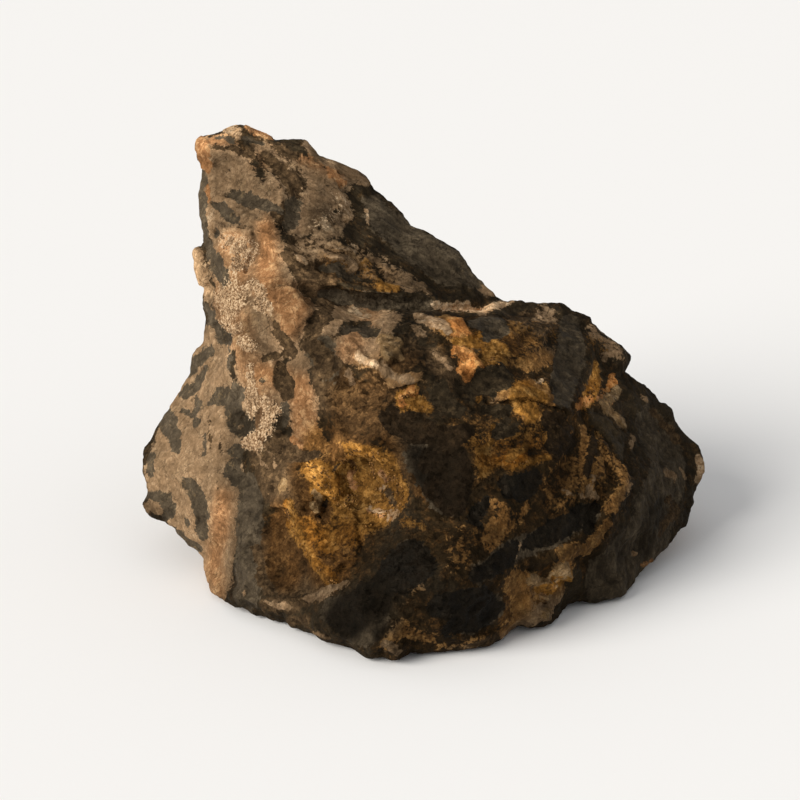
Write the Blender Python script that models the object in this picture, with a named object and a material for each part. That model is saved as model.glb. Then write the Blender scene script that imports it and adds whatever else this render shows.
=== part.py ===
"""A raw black tourmaline: one broken lump of schorl in iron-stained feldspar, 124 mm across.

The lump is one solid bounded by broken facets. Their corners are given as an eye sees the lump
from the front and a little above: across and down a picture, in its pixels, and how far each
corner stands in front of the lump's middle, in millimetres. The near corners and the far
corners share one outline, and the foot is broken off flat, so the lump stands on it.
"""

import math
import random

import bmesh
import bpy
from mathutils import Vector, geometry, kdtree, noise

MM = 0.001

# Driving dimensions: how wide the outline is where the lump's middle stands, and how it is looked at
OUTLINE_WIDTH = 120 * MM
SIGHT_TILT = math.radians(20)
SIGHT_DISTANCE = 450 * MM

# The picture that the corners are read from: its middle, and the lump's left and right ends in it
PICTURE_MIDDLE = 400
LEFT_END = 142
RIGHT_END = 707
PIXEL = OUTLINE_WIDTH / (RIGHT_END - LEFT_END)

# How high the picture's middle is above the ground
MIDDLE = Vector((0.0, 0.0, 35.9 * MM))

# The outline, clockwise from the summit's left corner: (across, down, in front of the middle)
SUMMIT_AND_RIGHT_SLOPE = (
    (197, 139, -8), (224, 128, -8), (243, 124, -8), (262, 132, -9), (276, 138, -10), (303, 139, -12),
    (319, 154, -12), (341, 161, -13), (368, 175, -14), (375, 187, -14), (396, 205, -14), (411, 225, -14),
    (429, 231, -13), (460, 250, -12), (467, 264, -12), (478, 278, -11), (497, 294, -11),
)
SHOULDER_AND_RIGHT_SIDE = (
    (517, 299, -12), (543, 302, -14), (563, 302, -16), (585, 313, -16), (605, 334, -16), (632, 355, -17),
    (626, 371, -16), (649, 387, -18), (669, 410, -20), (678, 425, -20), (702, 444, -21), (707, 468, -20),
    (699, 487, -18), (694, 507, -16), (689, 524, -13), (670, 543, -8), (655, 559, -3), (638, 577, 2),
)
RIGHT_FOOT = (
    (621, 598, 10), (592, 602, 12), (577, 602, 13), (560, 615, 18), (550, 625, 22), (534, 630, 24),
    (520, 627, 24), (503, 637, 27), (490, 647, 31), (466, 650, 32), (435, 652, 33), (411, 653, 34),
)
LEFT_FOOT = (
    (396, 661, 37), (382, 656, 35), (369, 660, 36), (350, 649, 32), (322, 643, 30), (302, 629, 25),
    (283, 621, 21), (262, 614, 18), (234, 610, 16), (218, 599, 11), (209, 590, 8),
)
LEFT_SIDE = (
    (205, 572, 3), (203, 556, 0), (184, 542, -2), (171, 525, -4), (151, 516, -5), (142, 504, -6),
    (148, 489, -6), (142, 465, -8), (145, 444, -9), (158, 421, -10), (175, 397, -11), (188, 372, -11),
    (189, 353, -11), (203, 343, -11), (204, 316, -10), (200, 303, -10), (205, 289, -10), (197, 262, -9),
    (197, 251, -9), (203, 242, -9), (199, 219, -8), (198, 190, -8), (200, 169, -8), (196, 153, -8),
)
OUTLINE = SUMMIT_AND_RIGHT_SLOPE + SHOULDER_AND_RIGHT_SIDE + RIGHT_FOOT + LEFT_FOOT + LEFT_SIDE

# Ridges and valleys of the near side, each a chain of corners that the facets meet along
NEAR_CHAINS = {
    "summit plate": (
        (214, 150, -2), (255, 153, -3), (287, 193, 2), (283, 222, 5), (250, 226, 5), (214, 224, -1),
    ),
    "groove beside the plate": ((290, 155, -7), (306, 196, -3), (300, 226, 1)),
    "summit's right knob": ((325, 172, -6), (348, 190, -5), (340, 222, 0), (322, 240, 2)),
    "black slope": ((385, 215, -8), (400, 250, -6), (440, 272, -7)),
    "lip over the crevice": (
        (291, 262, 7), (312, 279, 9), (340, 284, 8), (362, 292, 8), (396, 293, 4), (430, 300, 2),
        (462, 299, -2), (484, 304, -7),
    ),
    "crevice": (
        (302, 289, 7), (330, 297, 4), (352, 306, 4), (385, 306, 1), (420, 313, 1), (452, 311, -3), (480, 310, -7),
    ),
    "shoulder": ((318, 312, 14), (345, 322, 15), (400, 325, 14), (450, 328, 12), (500, 322, 4), (545, 320, -2)),
    "left ridge": (
        (224, 262, 1), (240, 300, 7), (252, 345, 11), (262, 400, 14), (262, 450, 15), (252, 510, 17), (238, 560, 17),
    ),
    "left face": ((210, 385, 1), (190, 430, -1), (176, 476, 0), (196, 515, 6)),
    "rose plate": ((272, 290, 11), (292, 282, 13), (312, 330, 17), (322, 400, 20), (332, 446, 22)),
    "overhang under the shoulder": ((350, 356, 20), (390, 368, 22), (430, 382, 24)),
    "hollow under the overhang": ((356, 382, 18), (396, 394, 20), (430, 402, 22)),
    "vug rim": (
        (326, 462, 23), (346, 445, 25), (374, 440, 26), (402, 454, 27), (416, 490, 29), (402, 524, 30), (364, 530, 28),
    ),
    "vug floor": ((340, 498, 22), (358, 480, 21), (386, 486, 23)),
    "left edge of the vug": ((286, 506, 22), (300, 552, 26), (332, 584, 32)),
    "hollow beside the edge": ((280, 514, 18), (288, 562, 21)),
    "front corner": ((462, 352, 15), (456, 400, 24), (462, 460, 30), (470, 520, 35), (462, 548, 37)),
    "lower edge": (
        (240, 588, 18), (276, 594, 25), (318, 602, 31), (352, 600, 35), (396, 590, 40), (440, 580, 42), (488, 582, 38),
        (524, 566, 31),
    ),
    "crack ledge": ((482, 402, 23), (526, 396, 20), (562, 408, 16)),
    "under the crack": ((492, 412, 21), (530, 408, 18), (566, 420, 13)),
    "right knob": ((590, 345, -6), (584, 385, 2), (592, 420, 5)),
    "right hollow": ((622, 400, -4), (628, 430, 3)),
    "right ridge": ((634, 462, 9), (618, 505, 15), (603, 538, 21), (570, 556, 26), (524, 566, 31)),
    "right face": ((664, 470, -4), (655, 515, 1), (618, 572, 10)),
    "between the corner and the right ridge": ((520, 455, 25), (560, 480, 22)),
    "lower band": ((510, 520, 32), (556, 522, 26)),
}

# The far side's corners
FAR_CHAINS = {
    "summit's far edge": ((222, 158, -22), (262, 166, -28), (318, 192, -27)),
    "far side of the neck": ((224, 240, -26), (264, 258, -34), (336, 262, -38), (400, 252, -27), (424, 270, -28)),
    "far left edge": ((228, 330, -28), (206, 400, -31), (186, 450, -30), (174, 490, -28)),
    "far shoulder": ((290, 330, -42), (360, 322, -44), (440, 316, -40), (500, 318, -32), (556, 334, -33)),
    "far right edge": ((608, 380, -33), (650, 430, -37), (664, 476, -36)),
    "far hollow": ((300, 356, -44), (372, 350, -42), (452, 348, -39), (524, 360, -40)),
    "far ledge": ((262, 388, -44), (312, 396, -50), (384, 384, -52), (452, 374, -46)),
    "far belly": ((256, 440, -48), (350, 446, -58), (440, 430, -56), (520, 430, -54), (596, 440, -47)),
    "under the far side": ((214, 500, -42), (290, 520, -56), (400, 520, -62), (500, 510, -61), (592, 516, -52)),
    "under the middle": ((240, 560, -36), (330, 590, -50), (440, 600, -50), (560, 570, -40)),
}

# Just inside the outline the surface turns towards the eye, or away from it
RIM_INSET = 2.4 * MM
NEAR_RIM_RISE = 4.0
FAR_RIM_DROP = 6.0

# Corners of a net closer than this, in pixels, are one corner
SAME_CORNER = 1e-4

# Edges longer than this are split, so that the facets can be broken up
LONGEST_EDGE = 4.2 * MM

# The broken plates of the facets, coarse ones first: (how many, step between plates, tilt, width of the seams)
PLATE_SIZES = (
    (70, 1.1 * MM, 0.10, 0.35),
    (420, 0.5 * MM, 0.10, 0.7),
)
SWELL_SIZE = 22 * MM
SWELL_HEIGHT = 1.1 * MM

# No corner above the foot comes closer to the ground than this
FOOT_CLEARANCE = 0.3 * MM

# Along the outline the surface stays where it is, and this far from it the plates have their full height
OUTLINE_MARGIN = 6 * MM
OUTLINE_SAMPLES = 8

STONE_COLOUR = (0.085, 0.062, 0.042, 1.0)
STONE_ROUGHNESS = 0.7


def clear_scene():
    for obj in list(bpy.data.objects):
        bpy.data.objects.remove(obj)


def in_space(across, down, near):
    """The point that an eye sees at this place in the picture, near millimetres in front of the middle."""
    forward = near * MM
    scale = PIXEL * (1 - forward / SIGHT_DISTANCE)
    right = (across - PICTURE_MIDDLE) * scale
    up = (PICTURE_MIDDLE - down) * scale
    back = up * math.sin(SIGHT_TILT) - forward * math.cos(SIGHT_TILT)
    height = up * math.cos(SIGHT_TILT) + forward * math.sin(SIGHT_TILT)
    return MIDDLE + Vector((right, back, height))


def rim(outline, rise):
    """A ring of corners just inside the outline, and that much nearer to the eye."""
    ring = []
    for index, (across, down, near) in enumerate(outline):
        before = Vector(outline[index - 1][:2])
        after = Vector(outline[(index + 1) % len(outline)][:2])
        along = (after - before).normalized()
        inward = Vector((-along.y, along.x)) * RIM_INSET / PIXEL
        ring.append((across + inward.x, down + inward.y, near + rise))
    return ring


def net(outline, ring, chains):
    """Triangles over the outline whose corners are the ring's and the chains', as (corners, triangles)."""
    corners = list(outline) + list(ring)
    edges = []
    for chain in chains.values():
        first = len(corners)
        corners.extend(chain)
        edges += [(i, i + 1) for i in range(first, len(corners) - 1)]
    flat = [Vector(corner[:2]) for corner in corners]
    around = list(range(len(outline)))
    inside_only = 1
    found = geometry.delaunay_2d_cdt(flat, edges, [around], inside_only, SAME_CORNER)
    sources = found[3]
    assert all(sources), "two chains cross"
    triangles = [[sources[i][0] for i in face] for face in found[2]]
    return corners, triangles


def add_net(bm, shared, corners, triangles, towards_eye):
    """Adds one side's facets. Its first corners are the outline's, which both sides share."""
    own = [bm.verts.new(in_space(*corner)) for corner in corners[len(shared):]]
    verts = shared + own
    for triangle in triangles:
        order = triangle if towards_eye else triangle[::-1]
        bm.faces.new([verts[i] for i in order])


def cut_foot(bm):
    """Takes away what lies below the ground, which leaves the lump open underneath."""
    everything = bm.verts[:] + bm.edges[:] + bm.faces[:]
    bmesh.ops.bisect_plane(bm, geom=everything, plane_co=(0, 0, 0), plane_no=(0, 0, 1), clear_inner=True)


def fill_foot(bm):
    """Closes the cut with one flat face, split into triangles."""
    edges = [e for e in bm.edges if e.is_boundary]
    filled = bmesh.ops.edgenet_fill(bm, edges=edges)
    bmesh.ops.triangulate(bm, faces=filled["faces"])


def refine(bm, longest):
    """Splits long edges until none is left, keeping every facet flat."""
    while True:
        long_edges = [e for e in bm.edges if e.calc_length() > longest]
        if not long_edges:
            return
        bmesh.ops.subdivide_edges(bm, edges=long_edges, cuts=1)
        bmesh.ops.triangulate(bm, faces=bm.faces[:], quad_method="SHORT_EDGE")


def tree_of(points):
    tree = kdtree.KDTree(len(points))
    for index, point in enumerate(points):
        tree.insert(point, index)
    tree.balance()
    return tree


def plate_heights(points, count, step, tilt, seam, seed):
    """How far each point is lifted by the broken plate it lies on, and near a seam by the next plate too."""
    rng = random.Random(seed)
    middles = rng.sample(points, count)
    lifts = [rng.uniform(-step, step) for _ in middles]
    slopes = [Vector([rng.uniform(-tilt, tilt) for _ in range(3)]) for _ in middles]
    tree = tree_of(middles)
    heights = []
    for point in points:
        (_, first, near), (_, second, far) = tree.find_n(point, 2)
        share = 0.5 + 0.5 * min(1, (far - near) / (seam * (far + near)))
        own = lifts[first] + slopes[first].dot(point - middles[first])
        other = lifts[second] + slopes[second].dot(point - middles[second])
        heights.append(share * own + (1 - share) * other)
    return heights


def outline_tree():
    """Places along the outline, close enough together to measure a distance to it."""
    corners = [in_space(*corner) for corner in OUTLINE]
    steps = [i / OUTLINE_SAMPLES for i in range(OUTLINE_SAMPLES)]
    return tree_of([a.lerp(b, t) for a, b in zip(corners, corners[1:] + corners[:1]) for t in steps])


def fracture(bm):
    """Breaks the facets into plates and swells them a little, all but the outline and the foot's rim."""
    bm.normal_update()
    points = [v.co.copy() for v in bm.verts]
    heights = [SWELL_HEIGHT * noise.noise(p / SWELL_SIZE) for p in points]
    for seed, plates in enumerate(PLATE_SIZES):
        heights = [a + b for a, b in zip(heights, plate_heights(points, *plates, seed))]
    outline = outline_tree()
    for vert, height in zip(bm.verts, heights):
        if vert.is_boundary:
            continue
        away = outline.find(vert.co)[2]
        vert.co += vert.normal * height * min(1, away / OUTLINE_MARGIN)
        vert.co.z = max(vert.co.z, FOOT_CLEARANCE)


def stand_over_origin(bm):
    """Moves the lump sideways until the middle of its box is over the origin."""
    across = [v.co.x for v in bm.verts]
    back = [v.co.y for v in bm.verts]
    middle = Vector((min(across) + max(across), min(back) + max(back), 0)) / 2
    bmesh.ops.translate(bm, verts=bm.verts[:], vec=-middle)


def stone():
    material = bpy.data.materials.new("tourmaline_in_feldspar")
    material.use_nodes = True
    shader = material.node_tree.nodes["Principled BSDF"]
    shader.inputs["Base Color"].default_value = STONE_COLOUR
    shader.inputs["Roughness"].default_value = STONE_ROUGHNESS
    shader.inputs["Metallic"].default_value = 0.0
    return material


def make_lump():
    bm = bmesh.new()
    shared = [bm.verts.new(in_space(*corner)) for corner in OUTLINE]
    near_ring, far_ring = rim(OUTLINE, NEAR_RIM_RISE), rim(OUTLINE, -FAR_RIM_DROP)
    add_net(bm, shared, *net(OUTLINE, near_ring, NEAR_CHAINS), towards_eye=False)
    add_net(bm, shared, *net(OUTLINE, far_ring, FAR_CHAINS), towards_eye=True)
    cut_foot(bm)
    bmesh.ops.triangulate(bm, faces=bm.faces[:])
    refine(bm, LONGEST_EDGE)
    fracture(bm)
    fill_foot(bm)
    bmesh.ops.recalc_face_normals(bm, faces=bm.faces[:])
    stand_over_origin(bm)
    mesh = bpy.data.meshes.new("raw_tourmaline")
    bm.to_mesh(mesh)
    bm.free()
    mesh.materials.append(stone())
    lump = bpy.data.objects.new("raw_tourmaline", mesh)
    bpy.context.scene.collection.objects.link(lump)
    return lump


clear_scene()
make_lump()
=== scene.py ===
"""The looks of the raw tourmaline: its fine broken surface, its minerals, a plain studio and a camera.

Lengths in this file are in millimetres up to the point where a mesh is made.
"""

import itertools
import math

import bmesh
import bpy
import numpy as np
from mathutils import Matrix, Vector
from mathutils.bvhtree import BVHTree


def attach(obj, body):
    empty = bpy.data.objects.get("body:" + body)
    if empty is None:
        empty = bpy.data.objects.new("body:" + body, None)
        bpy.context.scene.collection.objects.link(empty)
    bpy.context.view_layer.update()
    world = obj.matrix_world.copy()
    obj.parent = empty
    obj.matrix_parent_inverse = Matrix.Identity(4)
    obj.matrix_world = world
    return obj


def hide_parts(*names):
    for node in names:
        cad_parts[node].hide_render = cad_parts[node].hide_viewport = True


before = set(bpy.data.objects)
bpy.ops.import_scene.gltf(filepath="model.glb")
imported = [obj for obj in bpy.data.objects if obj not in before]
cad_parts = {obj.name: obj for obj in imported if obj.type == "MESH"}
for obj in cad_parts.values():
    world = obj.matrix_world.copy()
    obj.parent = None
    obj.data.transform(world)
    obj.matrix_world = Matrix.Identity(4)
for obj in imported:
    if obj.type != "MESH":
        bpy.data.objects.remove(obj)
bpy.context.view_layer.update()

NODE = "raw_tourmaline"
MM = 0.001

# The photograph's view: how far the eye is from the point it looks at, and how steeply it looks down
SIGHT_DISTANCE = 450.0
SIGHT_TILT = math.radians(20)
LOOKED_AT = np.array((-6.165, 2.08, 35.9))
PICTURE_SIDE = 800
PICTURE_MIDDLE = PICTURE_SIDE / 2
PIXEL = 120.0 / 565
SENSOR = 36.0

TOWARDS_EYE = np.array((0.0, -math.cos(SIGHT_TILT), math.sin(SIGHT_TILT)))
PICTURE_RIGHT = np.array((1.0, 0.0, 0.0))
PICTURE_UP = np.array((0.0, math.sin(SIGHT_TILT), math.cos(SIGHT_TILT)))
EYE = LOOKED_AT + SIGHT_DISTANCE * TOWARDS_EYE

# The fine mesh
WELD = 0.001
SUBDIVISIONS = 3
ROUNDING = 0.75
CREASE = math.radians(28)
FINE_TRIANGLES = 190_000

# The flat foot: how high up the relief is still growing, and how far the rest stays off the ground
FOOT_EDGE = 1.5
FOOT_TOP = 0.01
FOOT_CLEARANCE = 0.02

# How readily each part of the fine mesh gives up triangles, from 0 to 1, and how high the foot's part
# reaches
NEAR_COARSENESS = 0.2
FAR_COARSENESS = 0.5
FOOT_COARSENESS = 1.0
FOOT_PART = 0.05
COARSENESS_LEVELS = 10

# The minerals, in the order of their fields: how far each stands out from the rest, and how rough it is
MINERALS = {
    "olive": (-0.05, 0.7),
    "black": (-0.15, 0.5),
    "slate": (-0.15, 0.65),
    "bark": (-0.1, 0.7),
    "umber": (0.0, 0.85),
    "brown": (0.0, 0.85),
    "tan": (0.2, 0.85),
    "rose": (0.35, 0.85),
    "ochre": (0.1, 0.85),
    "orange": (0.3, 0.85),
    "pale": (0.15, 0.75),
    "quartz": (0.25, 0.5),
}
NAMES = list(MINERALS)
GROUND_ROUGHNESS = 0.8
# How far from a patch its field still tells how far off it is
FIELD_LIMIT = 2.0

# Each colour from its darkest tone to its lightest, as displayed, and where in a noise these tones lie
COLOURS = {
    "olive": ((41, 34, 24), (54, 45, 32), (74, 61, 43)),
    "peat": ((37, 28, 16), (53, 40, 23), (78, 57, 32)),
    "bark": ((28, 21, 12), (39, 29, 18), (54, 40, 25)),
    "black": ((18, 16, 11), (27, 23, 17), (38, 32, 24)),
    "slate": ((62, 54, 43), (82, 71, 56), (106, 93, 74)),
    "umber": ((48, 37, 25), (78, 61, 42), (118, 94, 66)),
    "brown": ((54, 36, 16), (84, 57, 29), (128, 92, 52)),
    "tan": ((110, 88, 63), (140, 113, 84), (178, 149, 115)),
    "rose": ((110, 76, 46), (154, 109, 70), (208, 164, 116)),
    "ochre": ((72, 49, 20), (128, 88, 38), (184, 137, 72)),
    "amber": ((84, 58, 26), (120, 84, 42), (150, 110, 60)),
    "sienna": ((54, 29, 4), (112, 66, 13), (176, 114, 40)),
    "orange": ((120, 74, 35), (177, 118, 64), (227, 172, 107)),
    "rust": ((72, 48, 19), (124, 85, 40), (188, 140, 78)),
    "pale": ((120, 93, 64), (164, 134, 101), (208, 182, 148)),
    "quartz": ((82, 63, 40), (130, 103, 69), (186, 157, 116)),
}
TONE_STOPS = (0.4, 0.5, 0.61)
CRACK_COLOUR = (24, 17, 10)
CREASE_COLOUR = (26, 18, 10)
SOOT_COLOUR = (30, 23, 14)
# The painted shade laid into the hollows
PAINTED_HOLLOW_SHADE_COLOUR = (26, 20, 12)
FLECK_COLOUR = (140, 112, 72)

# What the photograph shows, painted in this order, later over earlier. Each patch is a brush
# stroke over the picture: (across, down, radius) in its pixels.
PATCHES = (
    # Peak
    ("slate", "summit shade", ((217, 137, 3), (226, 137, 4), (234, 140, 3))),
    ("slate", "summit shade, right", ((245, 138, 2), (254, 140, 2.4), (262, 143, 2))),
    ("pale", "summit cap", ((227, 128, 4), (236, 132, 6), (239, 138, 4))),
    ("rose", "summit edge", ((249, 128, 5), (261, 133, 5), (271, 139, 3))),
    ("rose", "summit corner", ((200, 142, 6), (204, 152, 8), (207, 166, 6))),
    ("umber", "above the plate", ((214, 147, 3), (230, 148, 4), (246, 152, 4), (258, 158, 3))),
    ("umber", "groove beside the plate", ((266, 152, 3), (275, 162, 5), (285, 174, 7), (293, 186, 6))),
    ("slate", "groove, lower", ((296, 200, 7), (293, 224, 6))),
    (
        "slate",
        "plate's upper lens",
        ((229, 192, 4), (240, 196, 7), (255, 202, 7), (270, 208, 5), (283, 211, 3)),
    ),
    ("slate", "plate's lower lens", ((214, 203, 4), (222, 208, 7), (228, 216, 6), (237, 222, 3))),
    ("black", "pit in the plate", ((232, 171, 2.4),)),
    ("tan", "streak between the lenses", ((229, 204, 2), (241, 210, 3), (254, 218, 3))),
    ("rose", "right knob's streak", ((330, 162, 4), (332, 176, 5), (342, 183, 4))),
    (
        "tan",
        "upper right edge",
        ((309, 146, 8), (318, 156, 8), (346, 168, 8), (358, 176, 8), (366, 183, 5)),
    ),
    ("pale", "grains, upper", ((336, 192, 3), (346, 204, 4), (350, 214, 4), (346, 219, 2))),
    ("pale", "grains, lower", ((320, 218, 3), (327, 226, 4), (333, 231, 2))),
    ("pale", "grains, left", ((311, 228, 3),)),
    ("pale", "specks on the slope", ((367, 211, 1.5), (368, 221, 1.5))),
    # Left edge
    ("slate", "left edge, upper", ((201, 172, 4), (203, 192, 5.5), (202, 212, 6.5), (204, 232, 7.5))),
    ("slate", "left edge, middle", ((208, 243, 4), (213, 256, 6), (219, 268, 8), (224, 281, 6))),
    ("rose", "left edge's sliver", ((206, 188, 2), (209, 201, 2))),
    ("pale", "left edge's cream", ((209, 209, 3), (212, 218, 5), (212, 229, 3))),
    ("slate", "beside the cream", ((217, 233, 4),)),
    ("tan", "left tab", ((199, 253, 6), (202, 262, 7), (206, 274, 7), (209, 288, 6), (208, 300, 5))),
    (
        "slate",
        "left edge, lower",
        ((201, 302, 5), (209, 313, 5), (213, 325, 7), (222, 335, 9), (230, 340, 6)),
    ),
    ("slate", "left brow", ((208, 352, 7), (196, 360, 8), (190, 372, 6))),
    ("slate", "left shoulder patch", ((184, 393, 6), (196, 388, 6))),
    ("slate", "left rim", ((164, 410, 6), (168, 423, 11), (174, 436, 8), (178, 451, 4))),
    ("slate", "left rim, below the shoulder", ((183, 411, 3), (192, 414, 4), (199, 407, 4), (197, 399, 3))),
    ("slate", "far left lens", ((150, 457, 5), (151, 472, 5))),
    ("slate", "lower left", ((150, 495, 4), (163, 498, 7), (170, 509, 6.5), (163, 518, 4))),
    ("tan", "lower left chip", ((150, 507, 5), (156, 511, 4))),
    (
        "slate",
        "lower left lens",
        ((187, 484, 7), (196, 494, 9), (200, 508, 9.5), (202, 524, 8), (204, 537, 5)),
    ),
    ("pale", "lower left hairline", ((188, 531, 1.4), (199, 540, 1.4))),
    ("slate", "under the hairline", ((172, 528, 4), (184, 540, 6), (198, 549, 5))),
    # Left face
    ("slate", "left face, first", ((211, 400, 5), (222, 396, 9), (235, 398, 11), (232, 412, 9))),
    ("slate", "left face, top", ((236, 383, 3), (242, 390, 4))),
    ("slate", "left face, second", ((234, 424, 8), (240, 430, 9), (248, 420, 5), (249, 434, 5))),
    ("pale", "speck in the second", ((237, 427, 2),)),
    ("slate", "left face, third", ((231, 451, 5), (238, 450, 6))),
    ("slate", "left face, drop", ((229, 348, 2), (231, 357, 2.4), (229, 366, 2))),
    ("slate", "below the brow", ((205, 370, 4), (199, 381, 5))),
    ("slate", "left face, crack", ((204, 434, 1.6), (204, 455, 1.8))),
    ("umber", "left face, thin cracks", ((209, 418, 1), (209, 432, 1), (210, 447, 1))),
    ("umber", "left face, short crack", ((220, 440, 1), (222, 451, 1))),
    ("slate", "band, upper", ((236, 462, 6), (232, 472, 8), (238, 482, 9))),
    ("umber", "right of the band, upper", ((256, 462, 6), (266, 470, 9), (258, 482, 8))),
    ("slate", "band", ((247, 484, 11), (249, 502, 12), (250, 522, 13), (249, 542, 12), (245, 562, 14))),
    ("slate", "band's foot", ((243, 580, 15), (243, 598, 14))),
    ("umber", "right of the band", ((262, 575, 7), (268, 590, 6), (256, 548, 5))),
    ("pale", "squiggle", ((244, 591, 1.2), (241, 600, 1.2))),
    ("tan", "squiggles", ((257, 453, 1.6), (262, 462, 1.5), (269, 470, 1.4))),
    ("tan", "squiggles, right", ((268, 448, 1.4), (275, 456, 1.5), (277, 466, 1.4))),
    # Rose column and slab
    ("umber", "beside the column", ((284, 256, 4), (292, 263, 5), (300, 270, 6), (306, 281, 6))),
    ("umber", "column's spot", ((280, 287, 3),)),
    ("umber", "beside the slab", ((326, 303, 7), (325, 318, 7), (318, 330, 5))),
    ("umber", "under the slab, grey", ((275, 324, 4), (277, 334, 6), (286, 342, 6), (292, 352, 5))),
    ("umber", "under the slab, low", ((266, 358, 4), (278, 356, 4))),
    ("slate", "speck, middle left", ((264, 382, 2.5),)),
    ("umber", "middle left oval", ((280, 370, 7), (284, 384, 9), (287, 393, 6))),
    ("umber", "upper middle", ((310, 330, 7), (310, 344, 9), (322, 358, 11), (334, 364, 9), (322, 374, 7))),
    ("slate", "left of the rose band", ((285, 404, 4), (285, 424, 4))),
    ("umber", "under the rose band", ((275, 438, 6), (286, 452, 10), (305, 456, 7), (318, 455, 4))),
    ("rose", "chips", ((293, 440, 3), (301, 446, 3))),
    # Over the crevice
    ("tan", "streak, first", ((284, 243, 1.6), (298, 250, 1.6))),
    ("tan", "streak, second", ((299, 238, 2), (304, 250, 2))),
    ("pale", "streak, third", ((297, 256, 1.6), (306, 262, 1.8))),
    ("tan", "streaks, right", ((322, 252, 2), (333, 258, 3), (346, 259, 4), (352, 268, 3), (347, 273, 2))),
    ("pale", "streak, fourth", ((325, 242, 1.6), (340, 247, 2), (352, 250, 2))),
    ("pale", "streak, fifth", ((347, 240, 1.4), (354, 245, 1.8), (357, 249, 1.6))),
    ("slate", "upper hollow", ((324, 269, 4), (337, 267, 5), (347, 276, 4), (359, 274, 3))),
    ("umber", "under the column", ((304, 286, 6), (316, 292, 5), (300, 276, 5))),
    ("black", "seam's pits", ((370, 284, 2),)),
    ("tan", "hook", ((374, 259, 1.6), (384, 265, 2), (388, 276, 1.6))),
    ("tan", "below the slope", ((409, 278, 3), (408, 290, 3), (420, 285, 2), (429, 294, 2.5))),
    # The crevice is laid in dark slate: painted shade under the slope's lip
    ("slate", "crevice", ((322, 296, 4), (345, 296, 6), (375, 301, 7), (405, 305, 8), (428, 307, 6))),
    # Shoulder
    (
        "pale",
        "white vein",
        ((434, 304, 4), (447, 309, 5), (459, 305, 4.6), (472, 310, 4.6), (482, 314, 4.6)),
    ),
    ("pale", "white vein, right", ((484, 312, 4.6), (496, 307, 4.6), (510, 303, 3.6))),
    ("pale", "shoulder's grains", ((353, 308, 3), (362, 317, 3), (369, 315, 3))),
    ("pale", "crust beside the slab", ((253, 283, 3.4), (259, 289, 4.6), (262, 300, 4.6), (269, 309, 3.6))),
    ("umber", "specks in the crust", ((257, 297, 1.5), (266, 303, 1.5), (255, 288, 1.2))),
    ("pale", "chip over the crack", ((538, 380, 2.4), (544, 379, 2))),
    ("tan", "nodules' seam", ((384, 349, 1.4), (385, 359, 1.6))),
    # A dark slate patch laid into the shoulder's hollow: painted shade
    (
        "slate",
        "shoulder's lens",
        ((344, 330, 4), (356, 325, 5), (368, 326, 5), (376, 331, 5), (363, 332, 4)),
    ),
    ("quartz", "nodule", ((382, 344, 6), (393, 350, 9), (386, 358, 6), (397, 357, 6))),
    ("pale", "lit edge", ((358, 358, 4), (366, 363, 4), (377, 367, 2))),
    ("tan", "below the lit edge", ((349, 372, 3), (352, 380, 3))),
    ("tan", "lit edge's tail", ((382, 368, 3), (394, 374, 3), (406, 378, 3), (418, 381, 2))),
    ("orange", "middle flame", ((414, 388, 4), (408, 396, 5), (402, 404, 4))),
    ("ochre", "flame's foot", ((411, 400, 5), (420, 403, 6), (428, 408, 4))),
    ("black", "flame's pit", ((421, 395, 3.4),)),
    ("olive", "right of the flame", ((434, 389, 5), (444, 386, 6), (440, 402, 8), (456, 410, 8))),
    ("bark", "middle hollow", ((398, 424, 6), (410, 420, 5))),
    ("pale", "cream rock", ((419, 318, 4), (430, 321, 6), (441, 325, 7), (447, 333, 5))),
    ("tan", "cream rock's foot", ((414, 328, 4), (422, 334, 4), (419, 330, 4))),
    ("orange", "orange rock", ((452, 320, 5), (459, 325, 7), (464, 333, 5), (453, 338, 5))),
    ("ochre", "below the orange rock", ((455, 342, 5), (468, 343, 6), (480, 347, 5))),
    ("umber", "line in the orange", ((449, 346, 1.4), (464, 348, 1.6), (480, 353, 1.6))),
    ("orange", "peach", ((456, 352, 6), (467, 358, 9), (475, 365, 7), (463, 371, 7), (466, 377, 4))),
    ("tan", "streak by the peach", ((433, 352, 2.4), (442, 360, 3), (450, 368, 2.4))),
    ("umber", "under the streak", ((430, 362, 4), (440, 371, 5), (448, 380, 4))),
    ("ochre", "dots", ((478, 399, 4),)),
    ("ochre", "dots, lower", ((494, 428, 3.4),)),
    # Right of the shoulder
    ("slate", "shoulder's block", ((476, 322, 7), (490, 325, 12), (503, 328, 9), (488, 337, 7))),
    ("olive", "shoulder's top", ((503, 312, 5), (518, 307, 7), (531, 305, 5))),
    ("umber", "shoulder's dent", ((540, 328, 7),)),
    ("slate", "blob", ((572, 324, 11), (572, 345, 13), (568, 366, 15), (563, 386, 13), (562, 402, 7))),
    ("olive", "above the crack", ((500, 378, 14), (480, 380, 10), (488, 392, 7), (472, 388, 6))),
    (
        "olive",
        "below the crack's left",
        ((485, 408, 5), (500, 411, 7), (512, 407, 3), (500, 434, 7), (516, 428, 5)),
    ),
    ("bark", "below the crack's right", ((552, 420, 10), (560, 432, 13), (556, 448, 11), (572, 440, 8))),
    ("ochre", "over the crack", ((511, 397, 3), (523, 391, 5.5), (536, 391, 6.5), (549, 399, 3))),
    ("ochre", "under the crack", ((519, 409, 4), (529, 412, 6), (539, 415, 4.5), (528, 420, 3))),
    ("ochre", "rusty patch, ends", ((518, 467, 3), (545, 457, 2), (528, 461, 3))),
    ("ochre", "rusty patch's heart", ((508, 458, 3), (516, 451, 4), (524, 448, 3.4), (532, 443, 3))),
    ("ochre", "rusty patch's left", ((478, 451, 3), (487, 448, 4), (493, 443, 2.4))),
    ("orange", "orange corner", ((577, 406, 4), (584, 402, 5), (593, 398, 3))),
    ("tan", "edge of the right end", ((603, 354, 2), (612, 356, 3), (618, 352, 2), (604, 361, 2.6))),
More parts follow.
